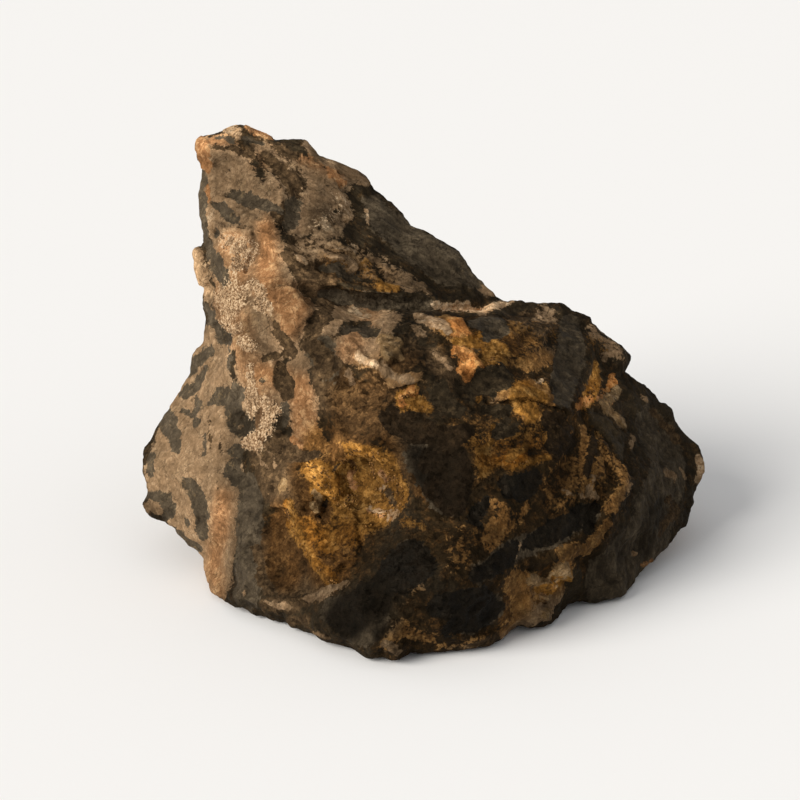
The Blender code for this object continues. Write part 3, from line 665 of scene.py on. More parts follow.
# Ledges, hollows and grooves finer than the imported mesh's facets: how far each stands out, in
# millimetres, how wide its slope is, and where
SCULPTED = (
    (-0.6, 0.8, "crevice", ((322, 295, 3), (350, 298, 4), (380, 302, 4), (412, 303, 3))),
    (
        1.1,
        0.5,
        "ochre plate",
        ((306, 512, 10), (312, 536, 12), (330, 560, 12), (345, 545, 14), (340, 520, 16)),
    ),
    (-1.2, 7.0, "vug", ((364, 482, 4), (378, 494, 4))),
    (-0.5, 0.6, "vug's hole", ((324, 503, 2), (325, 508, 2))),
    (-0.5, 0.6, "vug's lower hole", ((320, 518, 2),)),
    (0.5, 0.4, "vug's block", ((312, 469, 5), (321, 473, 8), (330, 482, 8), (332, 491, 6), (320, 489, 6))),
    (1.1, 0.9, "right ridge", ((600, 442, 3), (618, 470, 4), (627, 482, 4), (610, 510, 5), (604, 528, 3))),
    (0.9, 0.8, "right ridge's foot", ((598, 536, 3), (582, 549, 5), (556, 554, 5))),
    (1.2, 1.0, "nodule", ((384, 345, 6), (393, 350, 8), (386, 358, 5))),
    (0.8, 0.5, "lit edge", ((350, 350, 6), (360, 359, 4), (378, 368, 2))),
    (0.8, 0.5, "curved ridge", ((385, 372, 3), (393, 381, 4), (402, 380, 3), (421, 376, 2))),
    (-0.8, 0.5, "shoulder's lens", ((344, 330, 3), (356, 325, 4), (368, 326, 4), (376, 331, 4))),
    (1.2, 0.7, "lump", ((530, 579, 5),)),
    (1.3, 0.7, "second lump", ((546, 585, 6),)),
    (1.3, 0.7, "third lump", ((560, 568, 6), (567, 573, 4))),
    (0.9, 0.5, "fourth lump", ((543, 601, 3),)),
    (0.9, 0.5, "fifth lump", ((545, 614, 3.6),)),
    (
        -1.3,
        0.35,
        "crack",
        ((485, 402, 0.6), (510, 401, 1.0), (535, 400, 1.2), (550, 404, 1.0), (563, 412, 0.6)),
    ),
    (-0.8, 0.7, "under the tower's plate", ((225, 226, 2), (252, 226, 2), (272, 229, 3), (290, 231, 3))),
    (-1.0, 0.9, "groove beside the plate", ((262, 157, 3), (280, 172, 5), (294, 190, 5), (290, 224, 5))),
    (-0.6, 0.5, "upper lens", ((229, 193, 3), (240, 193, 5), (252, 196, 5), (263, 203, 4), (282, 209, 3))),
    (-0.5, 0.5, "lower lens", ((214, 206, 4), (225, 212, 5), (236, 219, 3))),
    (-0.7, 0.4, "beside the column", ((250, 226, 1), (254, 250, 1.4), (247, 270, 1))),
    (0.9, 0.6, "slab", ((284, 290, 5), (292, 302, 12), (303, 306, 10), (288, 328, 7))),
    (0.9, 0.6, "left tab", ((199, 254, 5), (203, 266, 5), (206, 278, 4))),
    (1.0, 0.5, "crystal", ((589, 415, 5), (600, 422, 7), (611, 434, 7), (617, 446, 6), (618, 456, 4))),
    (0.7, 0.4, "thin crystal", ((592, 431, 2), (592, 445, 3), (588, 460, 3), (586, 476, 3))),
    (0.6, 0.5, "streaks", ((322, 252, 2), (333, 258, 3), (346, 259, 3), (354, 268, 2))),
    (0.6, 0.5, "seam", ((362, 262, 1.6), (371, 270, 2.4), (384, 288, 3), (396, 289, 2))),
    (-0.6, 0.6, "upper hollow", ((322, 268, 4), (336, 267, 5), (346, 276, 4), (360, 274, 3))),
    (-0.8, 0.6, "middle left oval", ((280, 370, 5), (284, 384, 7), (287, 393, 4))),
    (0.6, 0.5, "peach", ((457, 354, 4), (468, 361, 7), (473, 367, 5), (463, 371, 4))),
    (-0.5, 0.5, "left face, second", ((232, 420, 6), (244, 416, 5), (240, 430, 5))),
    (-0.5, 0.5, "lower left lens", ((187, 484, 5), (196, 494, 6), (200, 508, 6), (202, 522, 4))),
    (-0.8, 0.6, "notch", ((214, 330, 5), (223, 333, 7), (230, 336, 4))),
)

# The far side's patches are strokes too, laid at random: how many, how wide, and of what
FAR_AREAS = (
    (20, (4, 7), {"bark": 1, "slate": 3, "tan": 3, "umber": 2}),
    (150, (1.0, 2.8), {"black": 1, "olive": 2, "slate": 4, "tan": 5, "brown": 2, "rose": 2, "umber": 3}),
    (260, (0.4, 1.2), {"black": 2, "slate": 3, "tan": 5, "pale": 2, "rose": 1, "ochre": 2, "quartz": 1}),
)
FAR_STROKE_SEED = 11
# Such a stroke's steps: how many, how long, how much each turns, and how wide, all against its radius
FAR_STEPS = 6
FAR_STEP_LENGTHS = (0.6, 1.4)
FAR_BEND = 0.35
FAR_WIDTHS = (0.35, 1.0)

# How much of the far side's ground each field takes up at the most, and between which two levels
# of its noise that share grows
FAR_SHARES = {
    "tan": (0.95, -0.45, 0.45),
    "gold": (0.8, -0.1, 0.7),
    "black": (0.9, -0.2, 0.6),
    "rosy": (0.9, -0.5, 0.5),
    # Painted light and shade, wandering at random over the far side
    "light": (0.65, -0.6, 0.5),
    "umber": (0.8, -0.5, 0.5),
    "warm": (0.9, -0.4, 0.4),
    "crust": (0.26, 0.35, 0.8),
}
FAR_SHARE_SIZE = 22.0
FAR_SHARE_SEED = 301

# How far behind what the eye sees the far side's minerals begin, and its broad facets
HIDDEN_DEPTHS = (3.5, 7.0)
RUGGED_DEPTHS = (4.0, 16.0)
# How well hidden a place is where a random stroke may start, and how fast such strokes end beside it
STROKES_HIDDEN = 0.99
FAR_FADE = 12
# How many millimetres further the photograph's strokes reach along the line of sight than across
# it, and at most how many times further, so that slopes seen at a slant are covered too
STROKE_DEPTH = 3.5
MOST_DEPTH = 7.0
# Between which heights up the tower the ground's streaks turn from upright to running down the slope
DRAWN_HEIGHTS = (52, 62)
DRAWN_SLANT = 0.25

# Swirls that move points about before something is laid over them: how far, how wide, and the seed
EDGE_SWIRLS = ((0.55, 4.5, 21), (0.4, 1.8, 31), (0.3, 0.9, 41))
FAR_SWIRLS = ((1.5, 7.0, 351), (0.9, 2.6, 361))
FACET_SWIRLS = ((0.6, 3.0, 51),)

# The facets of the broken surface: how wide, how far they stand out, and the seed
BROAD_FACETS = (7.0, 0.75, 61)
FAR_FACETS = ((21.0, 2.2, 65), (11.0, 1.1, 66))
FINE_FACETS = ((3.6, 0.5, 62), (1.9, 0.36, 63), (1.1, 0.24, 64))
# Which way the streaks of the tower run, and how many times longer they are than wide
FLOW = (1.0, 0.0, -0.55)
FLOW_STRETCH = 3.5
# The pores, the feldspar's fibres and the knobs of ochre and crust: how far out, how wide, the seed
PORES = (0.12, 1.4, 71)
FIBRES = (0.05, 1.3, 81)
FIBRES_RUN = (0.15, 0.0, 1.0)
FIBRES_STRETCH = 7
KNOBS = (0.15, 1.1, 95)
# The lowest knob's height, by which the ground between them lies lower, and how wide a knob's slope is
PLAIN_KNOB = 0.4
KNOB_SLOPE = 0.5
# Where a patch of a mineral starts to stand out from what is around it
MINERAL_EDGE = (-0.12, 0.22)
# How the roughness wanders over the lump, and how smooth the lit feldspar is and how rough the ochre
WANDER = (0.3, 14.0, 55)
PLAIN_ROUGH = 0.85
SMOOTHER_FELDSPAR = 0.35
ROUGHER_OCHRE = 0.3
ROUGH_LIMITS = (0.3, 1.3)

# Small grains: how many, how big, the field whose places they take and from which share of it up,
# the lace they lie in as its size, its two levels and its seed, and the seed of the grains themselves
CRUST = (5200, (0.11, 0.27), "crust", 0.15, (2.2, -0.25, 0.35, 401), 405)
DRUSE = (600, (0.12, 0.26), "gold", 0.75, (2.6, -0.3, 0.4, 411), 415)
LOWEST_GRAIN = 2
GRAIN_STRETCH = (0.65, 1.25)
GRAIN_RISE = (0.0, 0.6)

# The studio, in metres
FLOOR_SIDE = 60
FLOOR_COLOUR = (0.9, 0.9, 0.9, 1)
SKY_STRENGTH = 0.48
KEY_FROM = (-1.0, -0.62, 0.62)
KEY_STRENGTH = 3.8
KEY_COLOUR = (1.0, 0.96, 0.9)
KEY_SPREAD = math.radians(40)


def linear(*display):
    """A display colour, 0 to 255, as Blender's linear colour."""
    return tuple(((c / 255 + 0.055) / 1.055) ** 2.4 if c > 10 else c / 255 / 12.92 for c in display) + (1.0,)


# Noise


def scrambled(cells, seed):
    """A whole number for each lattice cell, as if drawn at random."""
    x, y, z = (cells[:, i].astype(np.uint32) for i in range(3))
    mixed = x * np.uint32(73856093) ^ y * np.uint32(19349663) ^ z * np.uint32(83492791)
    mixed = mixed ^ np.uint32(seed * 2654435761 % 2**32)
    mixed = (mixed ^ (mixed >> np.uint32(15))) * np.uint32(2246822519)
    mixed = (mixed ^ (mixed >> np.uint32(13))) * np.uint32(3266489917)
    return mixed ^ (mixed >> np.uint32(16))


def three_draws(cells, seed):
    """Three numbers from 0 to 1 for each lattice cell."""
    mixed = scrambled(cells, seed)
    parts = [(mixed >> np.uint32(shift)) & np.uint32(1023) for shift in (0, 10, 20)]
    return np.stack(parts, axis=1).astype(np.float32) / 1023


def smooth_noise(points, size, seed):
    """Gradient noise from about -1 to 1, whose humps are about size wide."""
    scaled = points / size
    cells = np.floor(scaled).astype(np.int64)
    inside = (scaled - cells).astype(np.float32)
    eased = inside**3 * (inside * (inside * 6 - 15) + 10)
    total = np.zeros(len(points), np.float32)
    for corner in itertools.product((0, 1), repeat=3):
        slope = three_draws(cells + corner, seed) * 2 - 1
        rise = (slope * (inside - np.array(corner, np.float32))).sum(axis=1)
        share = np.ones(len(points), np.float32)
        for axis in range(3):
            share = share * (eased[:, axis] if corner[axis] else 1 - eased[:, axis])
        total += share * rise
    return total * 1.6


def layered_noise(points, size, seed, layers, gain=0.5):
    """Smooth noise with finer and finer noise on top."""
    total = np.zeros(len(points), np.float32)
    for layer in range(layers):
        total += smooth_noise(points, size / 2**layer, seed + layer) * gain**layer
    return total


def stirred(points, swirls):
    """The points moved about by smooth random movements, given as (how far, how wide, seed)."""
    moved = points.copy()
    for movement, size, seed in swirls:
        moved += movement * np.stack([smooth_noise(points, size, seed + axis) for axis in range(3)], axis=1)
    return moved


def drawn_out(points, direction, factor):
    """The points squeezed along a direction, so that a noise over them is drawn out along it."""
    along = np.array(direction, float) / np.linalg.norm(direction)
    return points - (1 - 1 / factor) * (points @ along)[:, None] * along


def grains(points, size, seed):
    """For each point, how far inside its grain it is, and that grain's draw from 0 to 1."""
    scaled = points / size
    cells = np.floor(scaled).astype(np.int64)
    inside = (scaled - cells).astype(np.float32)
    nearest = np.full(len(points), 9.0, np.float32)
    second = nearest.copy()
    home = np.zeros((len(points), 3), np.int64)
    for step in itertools.product((-1, 0, 1), repeat=3):
        cell = cells + step
        away = inside - np.array(step, np.float32) - three_draws(cell, seed)
        distance = np.sqrt((away * away).sum(axis=1))
        closer = distance < nearest
        second = np.where(closer, nearest, np.minimum(second, distance))
        nearest = np.where(closer, distance, nearest)
        home[closer] = cell[closer]
    return (second - nearest) * size, three_draws(home, seed + 101)[:, 0]


def turn(seed):
    """A random rotation."""
    return np.linalg.qr(np.random.default_rng(seed).normal(size=(3, 3)))[0]


def facets(points, size, seed):
    """Noise from -1 to 1 made of flat facets about size wide, which meet along sharp edges."""
    turned = points @ turn(seed) / size
    corner = np.floor(turned).astype(np.int64)
    inside = turned - corner
    order = np.argsort(-inside, axis=1)
    sorted_inside = np.take_along_axis(inside, order, axis=1)
    walls = np.column_stack((np.ones(len(points)), sorted_inside, np.zeros(len(points))))
    total = np.zeros(len(points))
    every = np.arange(len(points))
    for step in range(4):
        value = (scrambled(corner, seed) & np.uint32(65535)) / 32767.5 - 1
        total += value * (walls[:, step] - walls[:, step + 1])
        if step < 3:
            corner[every, order[:, step]] += 1
    return total


def eased_step(values, low, high):
    """From 0 at the low value to 1 at the high one, flat at both ends."""
    share = np.clip((values - low) / (high - low), 0, 1)
    return share * share * (3 - 2 * share)


# Where things lie


def sight_line(across, down):
    """The direction in which the eye sees this place in the picture."""
    right = (across - PICTURE_MIDDLE) * PIXEL
    up = (PICTURE_MIDDLE - down) * PIXEL
    line = right * PICTURE_RIGHT + up * PICTURE_UP - SIGHT_DISTANCE * TOWARDS_EYE
    return line / np.linalg.norm(line)


def seen_point(tree, across, down):
    """The place on the lump that the eye sees there, or the nearest one just past its edge."""
    line = sight_line(across, down)
    hit = tree.ray_cast(Vector(EYE), Vector(line))[0]
    if hit is None:
        hit = tree.find_nearest(Vector(EYE + line * SIGHT_DISTANCE))[0]
    return np.array(hit)


def depth_behind(points, tree):
    """How far each point lies behind what the eye sees in front of it, in millimetres."""
    eye = Vector(EYE)
    lines = points - EYE
    lengths = np.linalg.norm(lines, axis=1)
    seen = (tree.ray_cast(eye, Vector(line))[3] for line in lines)
    reached_at = np.array([math.inf if distance is None else distance for distance in seen])
    return np.maximum(lengths - reached_at, 0)


def draped(tree, stroke):
    """The stroke's balls, laid along the surface: rows of (x, y, z, radius, depth over width)."""
    balls = []
    ends = list(zip(stroke, stroke[1:])) or [(stroke[0], stroke[0])]
    for first, last in ends:
        length = math.hypot(last[0] - first[0], last[1] - first[1])
        count = max(1, math.ceil(2 * length / min(first[2], last[2])))
        for i in range(count + 1):
            across, down, radius = np.array(first) + (np.array(last) - first) * i / count
            depth = min(1 + STROKE_DEPTH / (radius * PIXEL), MOST_DEPTH)
            balls.append((*seen_point(tree, across, down), radius * PIXEL, depth))
    return np.array(balls)


def reached(points, balls, margin):
    """The points near the balls, and how far outside the nearest ball each is, at most the margin."""
    reach = (balls[:, 3:4] + margin) * balls[:, 4:5]
    low, high = (balls[:, :3] - reach).min(axis=0), (balls[:, :3] + reach).max(axis=0)
    near = np.flatnonzero(((points > low) & (points < high)).all(axis=1))
    distance = np.full(len(near), float(margin))
    for *middle, radius, depth in balls:
        away = points[near] - middle
        along = away @ TOWARDS_EYE
        squared = (away * away).sum(axis=1) - (1 - depth**-2) * along * along
        distance = np.minimum(distance, np.sqrt(np.maximum(squared, 0)) - radius)
    return near, distance


# Minerals


def lay(fields, points, balls, mineral):
    """Puts a patch of this mineral over whatever was there."""
    near, distance = reached(points, balls, FIELD_LIMIT)
    touched = near[distance < FIELD_LIMIT]
    distance = distance[distance < FIELD_LIMIT]
    own = NAMES.index(mineral)
    for index in range(len(NAMES)):
        if index == own:
            fields[touched, index] = np.minimum(fields[touched, index], distance)
        else:
            fields[touched, index] = np.maximum(fields[touched, index], -distance)


def far_strokes(points, normals, hidden):
    """Random strokes over the side that the photograph doesn't show, as (mineral, balls)."""
    rng = np.random.default_rng(FAR_STROKE_SEED)
    starts = np.flatnonzero(hidden > STROKES_HIDDEN)
    for count, (thin, thick), shares in FAR_AREAS:
        names = list(shares)
        odds = np.array([shares[name] for name in names], float)
        for _ in range(count):
            mineral = names[rng.choice(len(names), p=odds / odds.sum())]
            start = starts[rng.integers(len(starts))]
            radius = rng.uniform(thin, thick)
            heading = np.cross(normals[start], rng.normal(size=3))
            heading /= np.linalg.norm(heading) + 1e-9
            steps = np.arange(FAR_STEPS) * radius * rng.uniform(*FAR_STEP_LENGTHS)
            bends = np.cumsum(rng.normal(scale=FAR_BEND, size=(FAR_STEPS, 3)), axis=0) * radius
            places = points[start] + steps[:, None] * heading + bends
            radii = radius * rng.uniform(*FAR_WIDTHS, FAR_STEPS)
            yield mineral, np.column_stack((places, radii, np.ones(FAR_STEPS)))


def mineral_fields(points, normals, hidden, tree):
    """For each point and mineral, how far outside that mineral's patches it is, or inside where negative."""
    fields = np.full((len(points), len(NAMES)), FIELD_LIMIT)
    torn = stirred(points, EDGE_SWIRLS + FAR_SWIRLS)
    for mineral, balls in far_strokes(points, normals, hidden):
        lay(fields, torn, balls, mineral)
    fields = np.minimum(fields + FAR_FADE * (1 - hidden)[:, None], FIELD_LIMIT)
    ragged = stirred(points, EDGE_SWIRLS)
    for mineral, _, stroke in PATCHES:
        lay(fields, ragged, draped(tree, stroke), mineral)
    return fields


def ground_shares(points, hidden, tree):
    """For each point, the ground's soft fields, each from 0 to 1, by name."""
    shares = {name: np.zeros(len(points)) for name in GROUND_FIELDS}
    for index, (name, (most, low, high)) in enumerate(FAR_SHARES.items()):
        level = layered_noise(points, FAR_SHARE_SIZE, FAR_SHARE_SEED + 10 * index, 3)
        shares[name] = hidden * eased_step(level, low, high) * most
    shares["light"] += PLAIN_PAINTED_LIGHT
    for name, strokes in GROUND.items():
        for strength, _, stroke in strokes:
            balls = draped(tree, stroke)
            soft = min(SOFTNESS, balls[:, 3].mean())
            near, distance = reached(points, balls, soft)
            cover = eased_step(-distance, -soft, soft)
            shares[name][near] += cover * (strength - shares[name][near])
    shares["drawn"] = eased_step(points[:, 2] - DRAWN_SLANT * points[:, 0], *DRAWN_HEIGHTS)
    return shares


# Relief


def roughness(points, shares):
    """How rough the broken surface is from place to place, about 1 on the whole."""
    strength, size, seed = WANDER
    rough = PLAIN_ROUGH + strength * smooth_noise(points, size, seed)
    rough = rough - SMOOTHER_FELDSPAR * shares["light"] * shares["tan"] + ROUGHER_OCHRE * shares["gold"]
    return np.clip(rough, *ROUGH_LIMITS)


def broad_relief(warped, fields, rough, hidden):
    """How far the facets and the minerals' patches stand out."""
    size, lift, seed = BROAD_FACETS
    height = lift * facets(warped, size, seed) * rough
    for size, lift, seed in FAR_FACETS:
        height += hidden * lift * facets(warped, size, seed)
    for index, (rise, _) in enumerate(MINERALS.values()):
        height += rise * eased_step(-fields[:, index], *MINERAL_EDGE)
    return height


def fine_relief(points, warped, shares, rough):
    """How far the smallest unevenness stands out: pores, chips, fibres and knobs."""
    pulled = np.where(shares["drawn"][:, None] > 0.5, drawn_out(warped, FLOW, FLOW_STRETCH), warped)
    lift, size, seed = PORES
    fine = lift * layered_noise(points, size, seed, 2)
    for size, lift, seed in FINE_FACETS:
        fine += lift * facets(pulled, size, seed) * rough
    lift, size, seed = FIBRES
    fibres = layered_noise(drawn_out(points, FIBRES_RUN, FIBRES_STRETCH), size, seed, 3)
    fine += lift * fibres * shares["tan"]
    lift, size, seed = KNOBS
    inside, draw = grains(points, size, seed)
    knobs = eased_step(inside, 0, KNOB_SLOPE) * (PLAIN_KNOB + draw)
    fine += lift * (knobs - PLAIN_KNOB) * np.maximum(shares["gold"], shares["crust"])
    return fine


def sculpted(points, tree):
    """How far the ledges, hollows and grooves lift each point."""
    lift = np.zeros(len(points))
    for rise, slope, _, stroke in SCULPTED:
        near, distance = reached(points, draped(tree, stroke), slope)
        lift[near] += rise * eased_step(-distance, -slope, 0)
    return lift


# The fine surface


def arrays_of(mesh):
    """A mesh's corners and their normals, in millimetres."""
    points = np.empty(len(mesh.vertices) * 3)
    mesh.vertices.foreach_get("co", points)
    normals = np.empty(len(mesh.vertices) * 3)
    mesh.vertices.foreach_get("normal", normals)
    return points.reshape(-1, 3) / MM, normals.reshape(-1, 3)


def move_corners(mesh, points):
    """Puts a mesh's corners at these points, given in millimetres."""
    mesh.vertices.foreach_set("co", (points * MM).ravel())


def welded(node):
    """A copy of the node's mesh in which facets share their corners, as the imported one's don't."""
    form = bmesh.new()
    form.from_mesh(node.data)
    bmesh.ops.remove_doubles(form, verts=form.verts, dist=WELD * MM)
    mesh = bpy.data.meshes.new("welded")
    form.to_mesh(mesh)
    form.free()
    return mesh


def evaluated(piece):
    """The piece's mesh with its modifiers applied."""
    return bpy.data.meshes.new_from_object(piece.evaluated_get(bpy.context.evaluated_depsgraph_get()))


def subdivided(whole, kind):
    """The welded mesh, subdivided in one of Blender's two ways."""
    copy = bpy.data.objects.new("subdivided", whole.copy())
    bpy.context.scene.collection.objects.link(copy)
    modifier = copy.modifiers.new("subdivide", "SUBSURF")
    modifier.subdivision_type = kind
    modifier.levels = modifier.render_levels = SUBDIVISIONS
    mesh = evaluated(copy)
    bpy.data.objects.remove(copy)
    return mesh


def rounded(whole):
    """The welded mesh subdivided, with its facets' edges mostly rounded off."""
    mesh = subdivided(whole, "CATMULL_CLARK")
    plain = subdivided(whole, "SIMPLE")
    smooth_points, _ = arrays_of(mesh)
    flat_points, _ = arrays_of(plain)
    bpy.data.meshes.remove(plain)
    move_corners(mesh, ROUNDING * smooth_points + (1 - ROUNDING) * flat_points)
    mesh.update()
    return mesh


def sight_tree(whole):
    """The welded mesh in a form that finds what a line of sight meets first."""
    corners, _ = arrays_of(whole)
    return BVHTree.FromPolygons([Vector(p) for p in corners], [tuple(p.vertices) for p in whole.polygons])


def write_fields(mesh, name, values):
    """Keeps each point's numbers in attributes that hold three each, the last filled up with zeros."""
    padded = np.pad(values.astype(np.float32), ((0, 0), (0, -values.shape[1] % 3)))
    for index in range(padded.shape[1] // 3):
        attribute = mesh.attributes.new(f"{name}_{index}", "FLOAT_VECTOR", "POINT")
        attribute.data.foreach_set("vector", padded[:, 3 * index : 3 * index + 3].ravel())


def raised(points, normals, height):
    """The points moved out by the height, but not through the ground."""
    moved = points + normals * height[:, None]
    moved[:, 2] = np.maximum(moved[:, 2], np.where(points[:, 2] > FOOT_TOP, FOOT_CLEARANCE, 0.0))
    return moved


def make_rock(node):
    """The lump's fine surface, with its minerals' fields as attributes, and what its points were made of."""
    whole = welded(node)
    tree = sight_tree(whole)
    mesh = rounded(whole)
    points, normals = arrays_of(mesh)
    depth = depth_behind(points, tree)
    hidden = eased_step(depth, *HIDDEN_DEPTHS)
    fields = mineral_fields(points, normals, hidden, tree)
    shares = ground_shares(points, hidden, tree)
    rough = roughness(points, shares)
    warped = stirred(points, FACET_SWIRLS)
    fine = fine_relief(points, warped, shares, rough)
    height = broad_relief(warped, fields, rough, eased_step(depth, *RUGGED_DEPTHS)) + fine
    height += sculpted(stirred(points, EDGE_SWIRLS), tree)
    height *= eased_step(points[:, 2], 0.0, FOOT_EDGE)
    moved = raised(points, normals, height)
    move_corners(mesh, moved)
    write_fields(mesh, "fields", fields)
    write_fields(mesh, "ground", np.stack([shares[name] for name in GROUND_FIELDS], axis=1))
    write_fields(mesh, "relief", np.stack([height, fine], axis=1))
    mesh.materials.clear()
    rock = bpy.data.objects.new("rock", mesh)
    bpy.context.scene.collection.objects.link(rock)
    thin_out(rock, hidden, points[:, 2])
    rock.data.shade_smooth()
    rock.data.set_sharp_from_angle(angle=CREASE)
    return rock, (moved, normals, shares)


def thin_out(rock, hidden, height):
    """Thins the mesh out, most under the foot and more on the side that the photograph doesn't show."""
    group = rock.vertex_groups.new(name="coarse")
    coarse = NEAR_COARSENESS + hidden * (FAR_COARSENESS - NEAR_COARSENESS)
    coarse = np.where(height < FOOT_PART, FOOT_COARSENESS, coarse)
    levels = np.round(coarse * COARSENESS_LEVELS)
    for level in np.unique(levels):
        group.add(np.flatnonzero(levels == level).tolist(), level / COARSENESS_LEVELS, "REPLACE")
    modifier = rock.modifiers.new("thin out", "DECIMATE")
    modifier.use_collapse_triangulate = True
    modifier.vertex_group = group.name
    modifier.vertex_group_factor = 1.0
    faces = sum(len(p.vertices) - 2 for p in rock.data.polygons)
    modifier.ratio = FINE_TRIANGLES / faces
    fine = evaluated(rock)
    rock.modifiers.clear()
    rock.data = fine
    rock.vertex_groups.clear()
    print("rock:", faces, "->", len(fine.polygons), "triangles")


# Grains


def grain_form():
    """The corners and sides of a round grain of radius 1."""
    form = bmesh.new()
    bmesh.ops.create_icosphere(form, subdivisions=1, radius=1.0)
    corners = np.array([v.co for v in form.verts])
    sides = np.array([[v.index for v in face.verts] for face in form.faces])
    form.free()
    return corners, sides


def random_turns(count, rng):
    """As many random rotations."""
    a, b, c, d = rng.normal(size=(count, 4)).T
    size = np.sqrt(a * a + b * b + c * c + d * d)
    a, b, c, d = a / size, b / size, c / size, d / size
    rows = (
        (1 - 2 * (c * c + d * d), 2 * (b * c - a * d), 2 * (b * d + a * c)),
        (2 * (b * c + a * d), 1 - 2 * (b * b + d * d), 2 * (c * d - a * b)),
        (2 * (b * d - a * c), 2 * (c * d + a * b), 1 - 2 * (b * b + c * c)),
    )
    return np.stack([np.stack(row, axis=1) for row in rows], axis=1)


def make_grains(name, recipe, points, normals, shares):
    """Grains half sunk into the surface, in a lace over the places where a field is strong enough."""
    count, radii, field, least, (size, low, high, lace_seed), seed = recipe
    lace = eased_step(layered_noise(points, size, lace_seed, 2), low, high)
    odds = np.maximum(shares[field] - least, 0) * lace * (points[:, 2] > LOWEST_GRAIN)
    rng = np.random.default_rng(seed)
    chosen = rng.choice(len(points), size=count, replace=False, p=odds / odds.sum())
    corners, sides = grain_form()
    radius = rng.uniform(*radii, count)
    stretch = rng.uniform(*GRAIN_STRETCH, (count, 1, 3))
    shapes = np.einsum("nij,nkj->nki", random_turns(count, rng), corners[None] * stretch)
    middles = points[chosen] + normals[chosen] * (radius * rng.uniform(*GRAIN_RISE, count))[:, None]
    places = middles[:, None] + shapes * radius[:, None, None]
    faces = sides[None] + (np.arange(count) * len(corners))[:, None, None]
    mesh = bpy.data.meshes.new(name)
    mesh.from_pydata((places.reshape(-1, 3) * MM).tolist(), [], faces.reshape(-1, 3).tolist())
    piece = bpy.data.objects.new(name, mesh)
    bpy.context.scene.collection.objects.link(piece)
    return piece


# Materials


